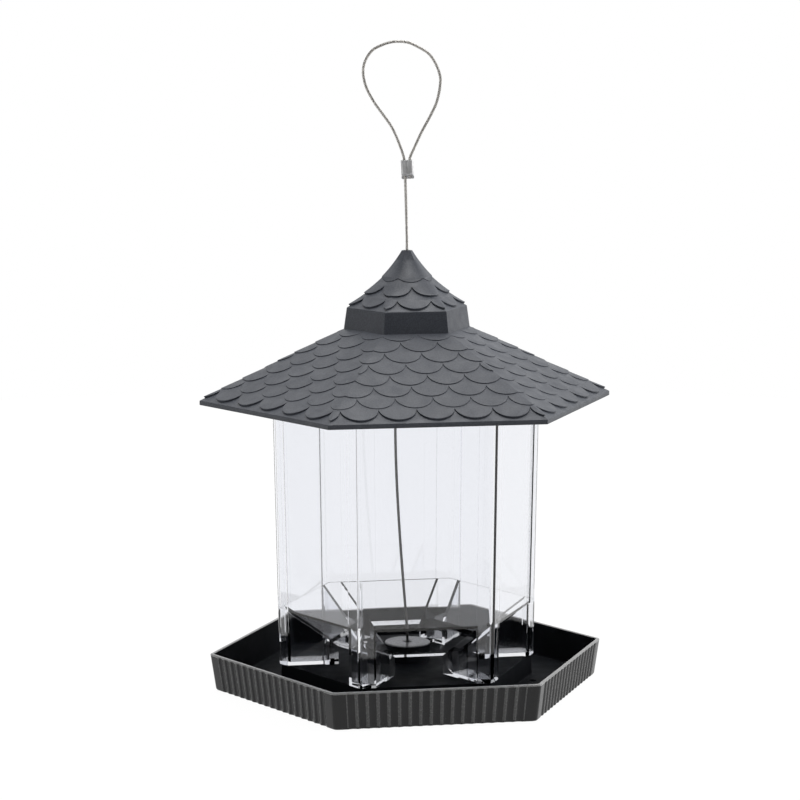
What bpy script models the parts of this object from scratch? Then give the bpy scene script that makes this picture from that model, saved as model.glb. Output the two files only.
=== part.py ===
"""Hanging seed feeder with six sides: a shingled roof, a clear hopper and a fluted tray.

The hopper stands on a platform inside the tray, the roof sits on the hopper, and one wire
rope runs from a stop under the tray up through all three to a crimped hanging loop.
Metres, +Z up. The origin is on the ground under the middle of the tray, and the corners of
the hexagons point along +X and every 60 degrees from it.
"""
from math import asin, atan2, ceil, cos, hypot, pi, radians, sin, tan

import bmesh
import bpy
from mathutils import Matrix, Vector

SIDES = 6
HALF_SIDE = pi / SIDES
SEAT_GAP = 0.0003
ROUND_STEPS = 32
HOLE_STEPS = 16
MERGE = 1e-6

# Tray
TRAY_RIM_CORNER = 0.1038
TRAY_FOOT_CORNER = 0.1009
TRAY_HEIGHT = 0.0194
TRAY_WALL = 0.0022
TRAY_FLOOR = 0.0020
TRAY_CORNER_ROUND = 0.0025
TRAY_FOOT_ROUND = 0.0010
FLUTE_PITCH = 0.00535
FLUTE_DEPTH = 0.0007
FLUTE_MARGIN = 0.0050
FLUTE_STEPS = 4
PLATFORM_CORNER = 0.0665
PLATFORM_TOP = 0.0127
PLATFORM_DRAFT = 0.0004
BOSS_RADIUS = 0.0120
BOSS_RISE = 0.0103
BOSS_EDGE = 0.0006
BOSS_WALL = 0.0020
TRAY_WIRE_HOLE = 0.0020
DRAIN_RADIUS = 0.0019
DRAIN_GAP = 0.0055
DRAIN_SHIFT = 0.0186

# Hopper
HOPPER_OVERHANG = 0.0015
HOPPER_TOP_CORNER = 0.0709
HOPPER_HEIGHT = 0.1537
HOPPER_WALL = 0.0022
HOPPER_CORNER_ROUND = 0.0016
COLUMN_WIDTH = 0.0084
PANEL_RECESS = 0.0007
RAMP_TOP = 0.0290
RAMP_LIP = 0.0095
RAMP_WALL = 0.0018
WELL_APOTHEM = 0.0360
FOOT_FLOOR = 0.0018
POCKET_STEP = 0.0003

# Roof
EAVE_CORNER = 0.1075
FASCIA_HEIGHT = 0.0023
ROOF_RISE = 0.0352
ROOF_WALL = 0.0020
NECK_FOOT_CORNER = 0.0330
NECK_TOP_CORNER = 0.0314
NECK_HEIGHT = 0.0112
CUPOLA_HEIGHT = 0.0289
CUPOLA_SAG = 0.0025
CUPOLA_STEPS = 9
APEX_CORNER = 0.0026
APEX_THICKNESS = 0.0060
APEX_HOLE = 0.0016
SKIRT_DEPTH = 0.0085
SKIRT_WALL = 0.0016
SKIRT_CLEARANCE = 0.0008

# Shingles
SHINGLE_WIDTH = 0.0187
SHINGLE_DROP = 0.0080
EAVE_SHINGLE_LIFT = 0.0010
SHINGLE_LIFT = 0.00085
SHINGLE_TUCK = 0.0001
SHINGLE_STEPS = 8
COURSE_START = 0.0020
COURSE_PITCH = 0.0093
CUPOLA_SHINGLE_WIDTH = 0.0174
CUPOLA_SHINGLE_DROP = 0.0060
CUPOLA_COURSE_START = 0.0014
CUPOLA_COURSE_PITCH = 0.0092
CUPOLA_LIFTS = (0.0010, 0.0012, 0.0008)
CUPOLA_TUCK = 0.0003

# Wire rope and what is crimped on it
WIRE_RADIUS = 0.00075
WIRE_POINTS = 80
WIRE_SUBSTEPS = 24
WIRE_CLEARANCE = 0.0003
FERRULE_FOOT = 0.2638
FERRULE_HEIGHT = 0.0097
FERRULE_SIDE = -0.00085
FERRULE_LEAN = radians(3.0)
FERRULE_WALL = 0.0008
FERRULE_WEB = 0.0006
DEAD_END_INSET = 0.0010
FERRULE_STEPS = 8
STOP_RADIUS = 0.0026
STOP_HEIGHT = 0.0080
WASHER_RADIUS = 0.0060
WASHER_THICKNESS = 0.0010
WASHER_EDGE = 0.0002
STOP_EDGE = 0.0004
# The rope lies in one upright plane, turned this far from the XZ plane.
ROPE_PLANE_TURN = radians(-9.3)


def apothem(corner):
    return corner * cos(HALF_SIDE)


def corner(flat):
    return flat / cos(HALF_SIDE)


# Heights and slopes worked out from the sizes above
PLATFORM_APOTHEM = apothem(PLATFORM_CORNER)
BOSS_TOP = PLATFORM_TOP + BOSS_RISE
HOPPER_FOOT_Z = PLATFORM_TOP + SEAT_GAP
HOPPER_TOP_Z = HOPPER_FOOT_Z + HOPPER_HEIGHT
HOPPER_FOOT_APOTHEM = apothem(PLATFORM_CORNER + HOPPER_OVERHANG)
HOPPER_TOP_APOTHEM = apothem(HOPPER_TOP_CORNER)
HOPPER_DRAFT = (HOPPER_TOP_APOTHEM - HOPPER_FOOT_APOTHEM) / HOPPER_HEIGHT
RAMP_MOUTH_Z = HOPPER_FOOT_Z + RAMP_TOP
RAMP_MOUTH_APOTHEM = HOPPER_FOOT_APOTHEM + HOPPER_DRAFT * RAMP_TOP
RAMP_FALL = (RAMP_TOP - RAMP_LIP) / (RAMP_MOUTH_APOTHEM - WELL_APOTHEM)
FOOT_HALF_WIDTH = COLUMN_WIDTH * cos(HALF_SIDE)
EAVE_APOTHEM = apothem(EAVE_CORNER)
NECK_FOOT_APOTHEM = apothem(NECK_FOOT_CORNER)
NECK_TOP_APOTHEM = apothem(NECK_TOP_CORNER)
APEX_APOTHEM = apothem(APEX_CORNER)
ROOF_SLOPE = atan2(ROOF_RISE, EAVE_APOTHEM - NECK_FOOT_APOTHEM)
ROOF_SLOPE_LENGTH = hypot(ROOF_RISE, EAVE_APOTHEM - NECK_FOOT_APOTHEM)
SKIRT_APOTHEM = HOPPER_TOP_APOTHEM - HOPPER_WALL - SKIRT_CLEARANCE
# The sloping underside of the roof bears on the outer edge of the hopper's rim.
FASCIA_TOP_Z = (HOPPER_TOP_Z + (SEAT_GAP + ROOF_WALL) / cos(ROOF_SLOPE)
                - (EAVE_APOTHEM - HOPPER_TOP_APOTHEM) * tan(ROOF_SLOPE))
EAVE_Z = FASCIA_TOP_Z - FASCIA_HEIGHT
NECK_FOOT_Z = FASCIA_TOP_Z + ROOF_RISE
NECK_TOP_Z = NECK_FOOT_Z + NECK_HEIGHT
APEX_Z = NECK_TOP_Z + CUPOLA_HEIGHT
BOSS_CEILING = BOSS_TOP - BOSS_WALL


def hopper_apothem(z):
    """Outer half width of the hopper at a height; it widens evenly towards its mouth."""
    return HOPPER_FOOT_APOTHEM + HOPPER_DRAFT * (z - HOPPER_FOOT_Z)


def roof_underside(flat):
    """Height of the roof's sloping underside above a point that far from the middle."""
    top = FASCIA_TOP_Z + (EAVE_APOTHEM - flat) * tan(ROOF_SLOPE)
    return top - ROOF_WALL / cos(ROOF_SLOPE)


def clear_scene():
    for item in list(bpy.data.objects):
        bpy.data.objects.remove(item, do_unlink=True)


def new_collection(name):
    group = bpy.data.collections.new(name)
    bpy.context.scene.collection.children.link(group)
    return group


def new_material(name, colour, roughness, metallic=0.0, transmission=0.0):
    material = bpy.data.materials.new(name)
    material.use_nodes = True
    shader = material.node_tree.nodes["Principled BSDF"]
    shader.inputs["Base Color"].default_value = (*colour, 1.0)
    shader.inputs["Roughness"].default_value = roughness
    shader.inputs["Metallic"].default_value = metallic
    shader.inputs["Transmission Weight"].default_value = transmission
    material.diffuse_color = (*colour, 1.0)
    return material


def add_object(name, bm, group, material=None):
    mesh = bpy.data.meshes.new(name)
    bm.to_mesh(mesh)
    bm.free()
    item = bpy.data.objects.new(name, mesh)
    group.objects.link(item)
    if material:
        mesh.materials.append(material)
    return item


def add_cutter(name, bm, group):
    item = add_object(name, bm, group)
    item.hide_render = True
    item.display_type = "WIRE"
    return item


def combine(item, tool, operation):
    step = item.modifiers.new(tool.name, "BOOLEAN")
    step.operation = operation
    step.solver = "EXACT"
    step.object = tool


def evaluated_mesh(item):
    bpy.context.view_layer.update()
    graph = bpy.context.evaluated_depsgraph_get()
    return bpy.data.meshes.new_from_object(item.evaluated_get(graph))


def smooth_by_angle(item, angle=radians(35)):
    item.data.shade_smooth()
    item.data.set_sharp_from_angle(angle=angle)


def chain(bm, points):
    verts = [bm.verts.new(point) for point in points]
    return verts, [bm.edges.new(pair) for pair in zip(verts, verts[1:])]


def turned(profile, steps):
    """A solid turned about Z from (radius, height) points that start and end on the axis."""
    bm = bmesh.new()
    verts, edges = chain(bm, [(radius, 0.0, height) for radius, height in profile])
    bmesh.ops.spin(bm, geom=verts + edges, axis=(0, 0, 1), cent=(0, 0, 0), angle=2 * pi,
                   steps=steps, use_merge=True)
    bmesh.ops.remove_doubles(bm, verts=bm.verts, dist=MERGE)
    bmesh.ops.recalc_face_normals(bm, faces=bm.faces)
    return bm


def six_sided(profile):
    """Like turned, from (half width across the flats, height) points, with a flat face at
    either end."""
    bm = turned([(corner(flat), height) for flat, height in profile], SIDES)
    middle = [v for v in bm.verts if hypot(v.co.x, v.co.y) < MERGE]
    bmesh.ops.dissolve_verts(bm, verts=middle)
    return bm


def cylinder(radius, foot, top, segments, centre=(0.0, 0.0)):
    bm = bmesh.new()
    place = Matrix.Translation((centre[0], centre[1], (foot + top) / 2))
    bmesh.ops.create_cone(bm, cap_ends=True, segments=segments, radius1=radius,
                          radius2=radius, depth=top - foot, matrix=place)
    return bm


def extruded(points, direction):
    """A solid from a flat closed outline of 3-D points, pushed along a vector."""
    bm = bmesh.new()
    face = bm.faces.new([bm.verts.new(point) for point in points])
    grown = bmesh.ops.extrude_face_region(bm, geom=[face])
    moved = [part for part in grown["geom"] if isinstance(part, bmesh.types.BMVert)]
    bmesh.ops.translate(bm, verts=moved, vec=direction)
    bmesh.ops.recalc_face_normals(bm, faces=bm.faces)
    return bm


def repeat_round(bm):
    """Copies what the bmesh holds to all six sides."""
    bmesh.ops.spin(bm, geom=bm.verts[:] + bm.edges[:] + bm.faces[:], axis=(0, 0, 1),
                   cent=(0, 0, 0), steps=SIDES - 1, angle=2 * pi * (SIDES - 1) / SIDES,
                   use_duplicate=True)
    return bm


def face_outwards(bm):
    """Turns a shape built towards +X until it faces the middle of a side."""
    bmesh.ops.rotate(bm, verts=bm.verts, cent=(0, 0, 0), matrix=Matrix.Rotation(HALF_SIDE, 3, "Z"))
    return bm


# Tray

def fluted_outline(corner_radius):
    """The tray's plan at one level: rounded corners and hollow flutes along each side."""
    flat = apothem(corner_radius)
    half = flat * tan(HALF_SIDE)
    room = 2 * (half - FLUTE_MARGIN)
    count = int(room / FLUTE_PITCH)
    first = -count * FLUTE_PITCH / 2
    setback = TRAY_CORNER_ROUND * tan(HALF_SIDE)
    points = []
    for side in range(SIDES):
        turn = Matrix.Rotation(2 * HALF_SIDE * side + HALF_SIDE, 3, "Z")
        along = [(flat, -half + setback)]
        for flute in range(count):
            start = first + flute * FLUTE_PITCH
            for step in range(FLUTE_STEPS):
                share = step / FLUTE_STEPS
                along.append((flat - FLUTE_DEPTH * sin(pi * share), start + share * FLUTE_PITCH))
        along.append((flat, -first))
        along.append((flat, half - setback))
        bend = Vector((flat - TRAY_CORNER_ROUND, half - setback, 0))
        for share in (1 / 3, 2 / 3):
            angle = 2 * HALF_SIDE * share
            out = Vector((cos(angle), sin(angle), 0)) * TRAY_CORNER_ROUND
            along.append((bend + out)[:2])
        points += [turn @ Vector((x, y, 0)) for x, y in along]
    return points


def build_tray(group, cutters, material):
    levels = ((0.0, TRAY_FOOT_CORNER - TRAY_FOOT_ROUND), (TRAY_FOOT_ROUND, TRAY_FOOT_CORNER),
              (TRAY_HEIGHT, TRAY_RIM_CORNER))
    bm = bmesh.new()
    outline = fluted_outline(TRAY_FOOT_CORNER)
    rings = []
    for height, radius in levels:
        size = radius / TRAY_FOOT_CORNER
        ring = [bm.verts.new((size * point.x, size * point.y, height)) for point in outline]
        rings.append([bm.edges.new(pair) for pair in zip(ring, ring[1:] + ring[:1])])
    for lower, upper in zip(rings, rings[1:]):
        bmesh.ops.bridge_loops(bm, edges=lower + upper)
    bmesh.ops.contextual_create(bm, geom=rings[0])
    bmesh.ops.contextual_create(bm, geom=rings[-1])
    bmesh.ops.recalc_face_normals(bm, faces=bm.faces)
    tray = add_object("tray", bm, group, material)

    rim_inside = apothem(TRAY_RIM_CORNER) - TRAY_WALL
    draft = apothem(TRAY_RIM_CORNER - TRAY_FOOT_CORNER) / TRAY_HEIGHT
    floor_inside = rim_inside - draft * (TRAY_HEIGHT - TRAY_FLOOR)
    above = TRAY_HEIGHT + TRAY_FLOOR
    basin = six_sided([(0, above), (rim_inside + draft * TRAY_FLOOR, above),
                       (floor_inside, TRAY_FLOOR), (PLATFORM_APOTHEM + PLATFORM_DRAFT, TRAY_FLOOR),
                       (PLATFORM_APOTHEM, PLATFORM_TOP), (0, PLATFORM_TOP)])
    combine(tray, add_cutter("tray_basin_cut", basin, cutters), "DIFFERENCE")
    inside = PLATFORM_APOTHEM - TRAY_WALL
    hollow = six_sided([(0, PLATFORM_TOP - TRAY_FLOOR), (inside, PLATFORM_TOP - TRAY_FLOOR),
                        (inside + PLATFORM_DRAFT, -TRAY_FLOOR), (0, -TRAY_FLOOR)])
    combine(tray, add_cutter("tray_underside_cut", hollow, cutters), "DIFFERENCE")

    foot = PLATFORM_TOP - TRAY_FLOOR / 2
    boss = turned([(0, foot), (BOSS_RADIUS, foot), (BOSS_RADIUS, BOSS_TOP - BOSS_EDGE),
                   (BOSS_RADIUS - BOSS_EDGE, BOSS_TOP), (0, BOSS_TOP)], ROUND_STEPS)
    combine(tray, add_cutter("tray_boss_form", boss, cutters), "UNION")
    well = cylinder(BOSS_RADIUS - BOSS_WALL, -TRAY_FLOOR, BOSS_CEILING, ROUND_STEPS)
    combine(tray, add_cutter("tray_boss_cut", well, cutters), "DIFFERENCE")
    hole = cylinder(TRAY_WIRE_HOLE, 0.0, BOSS_TOP + TRAY_FLOOR, HOLE_STEPS)
    combine(tray, add_cutter("tray_wire_hole_cut", hole, cutters), "DIFFERENCE")
    drain_at = (PLATFORM_APOTHEM + DRAIN_GAP, DRAIN_SHIFT)
    drains = cylinder(DRAIN_RADIUS, -TRAY_FLOOR, 2 * TRAY_FLOOR, HOLE_STEPS, drain_at)
    drains = repeat_round(face_outwards(drains))
    combine(tray, add_cutter("tray_drain_cut", drains, cutters), "DIFFERENCE")
    smooth_by_angle(tray)


# Hopper

def ramp_height(flat, thickness=0.0):
    """Height of the ramps' underside, or of their top with the wall's thickness added."""
    fall = (RAMP_MOUTH_APOTHEM - flat) * RAMP_FALL
    return RAMP_MOUTH_Z - fall + thickness * hypot(1, RAMP_FALL)


def bay_half_width(flat):
    """Half the width of the open bay between two feet, whose walls follow the corners."""
    return flat * tan(HALF_SIDE) - COLUMN_WIDTH


def hopper_cavity():
    """The inside: straight walls, six sloping ramps and the well through the bottom."""
    above = HOPPER_TOP_Z + HOPPER_WALL
    below = HOPPER_FOOT_Z - FOOT_FLOOR
    lip = ramp_height(WELL_APOTHEM, RAMP_WALL)
    run = (hopper_apothem(lip) - HOPPER_WALL - WELL_APOTHEM) / (1 - HOPPER_DRAFT * RAMP_FALL)
    knee = WELL_APOTHEM + run
    return six_sided([(0, above), (hopper_apothem(above) - HOPPER_WALL, above),
                      (knee, ramp_height(knee, RAMP_WALL)), (WELL_APOTHEM, lip),
                      (WELL_APOTHEM, below), (0, below)])


def foot_pockets():
    """The hollows of the six feet: straight slots with a blunt point in the walls' corner."""
    floor = HOPPER_FOOT_Z + FOOT_FLOOR
    top = ramp_height(RAMP_MOUTH_APOTHEM, RAMP_WALL) + HOPPER_WALL
    half = FOOT_HALF_WIDTH - RAMP_WALL
    start = corner(WELL_APOTHEM) + RAMP_WALL
    tip = corner(hopper_apothem(floor) - HOPPER_WALL - POCKET_STEP)
    shoulder = tip - (half - POCKET_STEP) * tan(HALF_SIDE)
    outline = [(start, -half, floor), (shoulder, -half, floor), (tip, -POCKET_STEP, floor),
               (tip, POCKET_STEP, floor), (shoulder, half, floor), (start, half, floor)]
    bm = extruded(outline, (0, 0, top - floor))
    lean = corner(hopper_apothem(top) - hopper_apothem(floor))
    outer_top = [v for v in bm.verts if v.co.z > floor + FOOT_FLOOR and v.co.x > start + half]
    bmesh.ops.translate(bm, verts=outer_top, vec=(lean, 0, 0))
    return repeat_round(bm)


def feeding_bays():
    """The open bays under the ramps, from the well out through the wall."""
    inner = WELL_APOTHEM - 2 * RAMP_WALL
    outer = corner(HOPPER_TOP_APOTHEM)
    foot = HOPPER_FOOT_Z - FOOT_FLOOR
    outline = [(inner, -bay_half_width(inner), foot), (outer, -bay_half_width(outer), foot),
               (outer, bay_half_width(outer), foot), (inner, bay_half_width(inner), foot)]
    bm = extruded(outline, (0, 0, 2 * ramp_height(outer)))
    cut = bmesh.ops.bisect_plane(bm, geom=bm.verts[:] + bm.edges[:] + bm.faces[:], dist=MERGE / 10,
                                 plane_co=(inner, 0, ramp_height(inner)),
                                 plane_no=(-RAMP_FALL, 0, 1), clear_outer=True)
    edges = [part for part in cut["geom_cut"] if isinstance(part, bmesh.types.BMEdge)]
    bmesh.ops.contextual_create(bm, geom=edges)
    bmesh.ops.recalc_face_normals(bm, faces=bm.faces)
    return repeat_round(face_outwards(bm))


def panel_recesses():
    """Shallow fields that set each wall panel back from the corner columns."""
    foot = HOPPER_FOOT_Z + RAMP_LIP
    top = HOPPER_TOP_Z + HOPPER_WALL
    half_foot = bay_half_width(hopper_apothem(foot)) - PANEL_RECESS / 2
    half_top = bay_half_width(hopper_apothem(top)) - PANEL_RECESS / 2
    in_foot = hopper_apothem(foot) - PANEL_RECESS
    in_top = hopper_apothem(top) - PANEL_RECESS
    outline = [(in_foot, -half_foot, foot), (in_foot, half_foot, foot),
               (in_top, half_top, top), (in_top, -half_top, top)]
    return repeat_round(face_outwards(extruded(outline, (HOPPER_WALL + PANEL_RECESS, 0, 0))))


def build_hopper(group, cutters, material):
    bm = six_sided([(0, HOPPER_TOP_Z), (HOPPER_TOP_APOTHEM, HOPPER_TOP_Z),
                    (HOPPER_FOOT_APOTHEM, HOPPER_FOOT_Z), (0, HOPPER_FOOT_Z)])
    upright = [e for e in bm.edges if abs(e.verts[0].co.z - e.verts[1].co.z) > HOPPER_HEIGHT / 2]
    bmesh.ops.bevel(bm, geom=upright, offset=HOPPER_CORNER_ROUND, offset_type="OFFSET",
                    affect="EDGES", segments=2, profile=0.5, material=-1)
    hopper = add_object("hopper", bm, group, material)
    combine(hopper, add_cutter("hopper_cavity_cut", hopper_cavity(), cutters), "DIFFERENCE")
    combine(hopper, add_cutter("hopper_foot_pocket_cut", foot_pockets(), cutters), "DIFFERENCE")
    combine(hopper, add_cutter("hopper_bay_cut", feeding_bays(), cutters), "DIFFERENCE")
    combine(hopper, add_cutter("hopper_panel_cut", panel_recesses(), cutters), "DIFFERENCE")
    smooth_by_angle(hopper)


# Roof

def cupola_curve(length, lift=0.0):
    """A point (half width, height) on the cupola's hollow flank, that far up along it and
    lifted square off it; the flank is an arc that sags below its chord."""
    run = NECK_TOP_APOTHEM - APEX_APOTHEM
    chord = hypot(run, CUPOLA_HEIGHT)
    radius = chord ** 2 / (8 * CUPOLA_SAG) + CUPOLA_SAG / 2
    half_angle = asin(chord / 2 / radius)
    start = atan2(CUPOLA_HEIGHT, run) - half_angle
    angle = start + length / radius
    flat = NECK_TOP_APOTHEM - radius * (sin(angle) - sin(start)) + lift * sin(angle)
    height = NECK_TOP_Z + radius * (cos(start) - cos(angle)) + lift * cos(angle)
    return flat, height


def cupola_length():
    chord = hypot(NECK_TOP_APOTHEM - APEX_APOTHEM, CUPOLA_HEIGHT)
    radius = chord ** 2 / (8 * CUPOLA_SAG) + CUPOLA_SAG / 2
    return 2 * radius * asin(chord / 2 / radius)


def roof_section():
    """The roof cut down the middle of one side, as (half width, height) points."""
    flank = cupola_length()
    steps = [flank * step / CUPOLA_STEPS for step in range(CUPOLA_STEPS + 1)]
    outer = [(EAVE_APOTHEM, EAVE_Z), (EAVE_APOTHEM, FASCIA_TOP_Z), (NECK_FOOT_APOTHEM, NECK_FOOT_Z)]
    outer += [cupola_curve(step) for step in steps]
    past_axis = -ROOF_WALL
    ceiling = APEX_Z - APEX_THICKNESS
    inner_curve = [cupola_curve(step, -ROOF_WALL) for step in steps[1:]]
    inner_curve = [point for point in inner_curve if point[1] < ceiling - ROOF_WALL / 4]
    low, high = inner_curve[-1], cupola_curve(flank, -ROOF_WALL)
    share = (ceiling - low[1]) / (high[1] - low[1])
    tip = max(low[0] + (high[0] - low[0]) * share, APEX_HOLE)
    neck_inside = NECK_TOP_APOTHEM - ROOF_WALL
    foot_inside = NECK_FOOT_APOTHEM - ROOF_WALL
    skirt_inside = SKIRT_APOTHEM - SKIRT_WALL
    skirt_foot = HOPPER_TOP_Z - SKIRT_DEPTH
    inner = [(past_axis, ceiling), (tip, ceiling)] + inner_curve[::-1]
    inner += [(neck_inside, NECK_TOP_Z - ROOF_WALL / 2), (foot_inside, roof_underside(foot_inside)),
              (skirt_inside, roof_underside(skirt_inside)), (skirt_inside, skirt_foot),
              (SKIRT_APOTHEM, skirt_foot), (SKIRT_APOTHEM, roof_underside(SKIRT_APOTHEM)),
              (EAVE_APOTHEM - ROOF_WALL, roof_underside(EAVE_APOTHEM - ROOF_WALL)),
              (EAVE_APOTHEM - ROOF_WALL, EAVE_Z)]
    return outer + [(past_axis, APEX_Z)] + inner


def bar(section, half_length):
    """A section of (half width, height) points pushed out to both sides along Y."""
    points = [(flat, -half_length, height) for flat, height in section]
    return extruded(points, (0, 2 * half_length, 0))


def scallops(width, drop, reach, shifted):
    """The lower edge of a course of round shingles, from left to right: arcs side by side,
    with a shingle in the middle, or a cusp there if the course is shifted."""
    radius = (width ** 2 / 4 + drop ** 2) / (2 * drop)
    spread = asin(width / 2 / radius)
    count = 2 * ceil(reach / width) + (0 if shifted else 1)
    points = []
    for shingle in range(count):
        centre = (shingle - (count - 1) / 2) * width
        last = shingle == count - 1
        for step in range(SHINGLE_STEPS + (1 if last else 0)):
            angle = spread * (2 * step / SHINGLE_STEPS - 1)
            points.append((centre + radius * sin(angle), radius * (1 - cos(angle))))
    return points


def course(foot, head, depth, width, drop, reach, shifted):
    """One course as a flat slab with a scalloped foot: its top face runs from the point foot
    to the point head, both (half width, height), and its depth is measured under that."""
    foot = Vector((foot[0], 0, foot[1]))
    up = Vector((head[0], 0, head[1])) - foot
    side = Vector((0, 1, 0))
    length = up.length
    up.normalize()
    edge = scallops(width, drop, reach, shifted)
    outline = edge + [(edge[-1][0], length), (edge[0][0], length)]
    points = [foot + side * across + up * along for across, along in outline]
    under = up.cross(side)
    under *= -1 if under.z > 0 else 1
    return extruded(points, under * depth)


def roof_point(length, lift):
    """A point (half width, height) that far up the main slope and lifted square off it."""
    flat = EAVE_APOTHEM - length * cos(ROOF_SLOPE) + lift * sin(ROOF_SLOPE)
    height = FASCIA_TOP_Z + length * sin(ROOF_SLOPE) + lift * cos(ROOF_SLOPE)
    return flat, height


def roof_courses():
    """The courses of the main slope, each lifted at its foot over the one below it."""
    reach = EAVE_APOTHEM * tan(HALF_SIDE)
    seen = COURSE_PITCH + SHINGLE_DROP
    last_room = ROOF_SLOPE_LENGTH - COURSE_START - COURSE_PITCH / 2
    slabs = []
    for row in range(int(last_room / COURSE_PITCH) + 1):
        start = COURSE_START + row * COURSE_PITCH
        length = min(seen, ROOF_SLOPE_LENGTH + ROOF_WALL / 2 - start)
        lift = SHINGLE_LIFT if row else EAVE_SHINGLE_LIFT
        fall = (lift - SHINGLE_TUCK) / seen
        slabs.append(course(roof_point(start, lift), roof_point(start + length, lift - fall * length),
                            lift + SHINGLE_TUCK, SHINGLE_WIDTH, SHINGLE_DROP,
                            reach * (1 - start / (2 * ROOF_SLOPE_LENGTH)), row % 2 == 1))
    return slabs


def cupola_courses():
    """Two flat courses and the plain upper cone, whose foot is scalloped too."""
    reach = NECK_TOP_APOTHEM * tan(HALF_SIDE)
    seen = CUPOLA_COURSE_PITCH + CUPOLA_SHINGLE_DROP
    slabs = []
    for row, lift in enumerate(CUPOLA_LIFTS[:-1]):
        start = CUPOLA_COURSE_START + row * CUPOLA_COURSE_PITCH
        slabs.append(course(cupola_curve(start, lift), cupola_curve(start + seen, CUPOLA_TUCK),
                            lift + CUPOLA_TUCK, CUPOLA_SHINGLE_WIDTH, CUPOLA_SHINGLE_DROP,
                            reach, row % 2 == 1))
    return slabs


def upper_cone():
    """The cone above the last course: a lifted copy of the flank and its scalloped outline."""
    reach = NECK_TOP_APOTHEM * tan(HALF_SIDE)
    flank = cupola_length()
    start = CUPOLA_COURSE_START + (len(CUPOLA_LIFTS) - 1) * CUPOLA_COURSE_PITCH
    lift = CUPOLA_LIFTS[-1]
    shares = [step / CUPOLA_STEPS for step in range(CUPOLA_STEPS)]
    top = [cupola_curve(start + (flank - start) * share, lift * (1 - share)) for share in shares]
    under = [cupola_curve(start + (flank - start) * share, -CUPOLA_TUCK) for share in shares]
    body = bar(top + under[::-1], reach)
    foot = cupola_curve(start, 2 * lift)
    head = cupola_curve(flank, 2 * lift)
    field = course(foot, head, 6 * lift, CUPOLA_SHINGLE_WIDTH, CUPOLA_SHINGLE_DROP, reach, False)
    return body, field


def trim(bm, point, normal):
    """Cuts away what lies on the far side of a plane and leaves the cut open."""
    bmesh.ops.bisect_plane(bm, geom=bm.verts[:] + bm.edges[:] + bm.faces[:], dist=MERGE / 10,
                           plane_co=point, plane_no=normal, clear_outer=True)


def build_roof(group, cutters, material):
    """Half of one side is modelled, mirrored, and copied round the other five."""
    reach = EAVE_CORNER
    side = add_object("roof_side", bar(roof_section(), reach), cutters)
    tools = []
    for number, slab in enumerate(roof_courses() + cupola_courses()):
        tools.append(add_object(f"course_{number}", slab, cutters))
    body, field = upper_cone()
    cone = add_object("upper_cone", body, cutters)
    tools.append(add_object("upper_cone_field", field, cutters))
    combine(cone, tools[-1], "INTERSECT")
    for tool in tools[:-1] + [cone]:
        combine(side, tool, "UNION")
    joined = evaluated_mesh(side)
    for item in tools + [cone, side]:
        bpy.data.objects.remove(item, do_unlink=True)

    bm = bmesh.new()
    bm.from_mesh(joined)
    trim(bm, (0, 0, 0), (0, -1, 0))
    trim(bm, (0, 0, 0), (-sin(HALF_SIDE), cos(HALF_SIDE), 0))
    half = bm.verts[:] + bm.edges[:] + bm.faces[:]
    copied = bmesh.ops.duplicate(bm, geom=half)["geom"]
    bmesh.ops.scale(bm, vec=(1, -1, 1), verts=[p for p in copied if isinstance(p, bmesh.types.BMVert)])
    bmesh.ops.reverse_faces(bm, faces=[p for p in copied if isinstance(p, bmesh.types.BMFace)])
    repeat_round(face_outwards(bm))
    bmesh.ops.remove_doubles(bm, verts=bm.verts, dist=2 * MERGE)
    bmesh.ops.dissolve_degenerate(bm, edges=bm.edges, dist=MERGE)
    bmesh.ops.recalc_face_normals(bm, faces=bm.faces)
    roof = add_object("roof", bm, group, material)
    hole = cylinder(APEX_HOLE, APEX_Z - 2 * APEX_THICKNESS, APEX_Z + APEX_THICKNESS, HOLE_STEPS)
    combine(roof, add_cutter("roof_wire_hole_cut", hole, cutters), "DIFFERENCE")
    smooth_by_angle(roof)


# Wire rope

def rope_frame():
    return Matrix.Rotation(ROPE_PLANE_TURN, 3, "Z")


def bore_spacing():
    return 2 * (WIRE_RADIUS + WIRE_CLEARANCE) + FERRULE_WEB


def ferrule_point(across, along):
    """A point (sideways, height) in the ferrule, across and along it from its live bore's foot."""
    side = FERRULE_SIDE + across * cos(FERRULE_LEAN) - along * sin(FERRULE_LEAN)
    return side, FERRULE_FOOT + across * sin(FERRULE_LEAN) + along * cos(FERRULE_LEAN)


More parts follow.
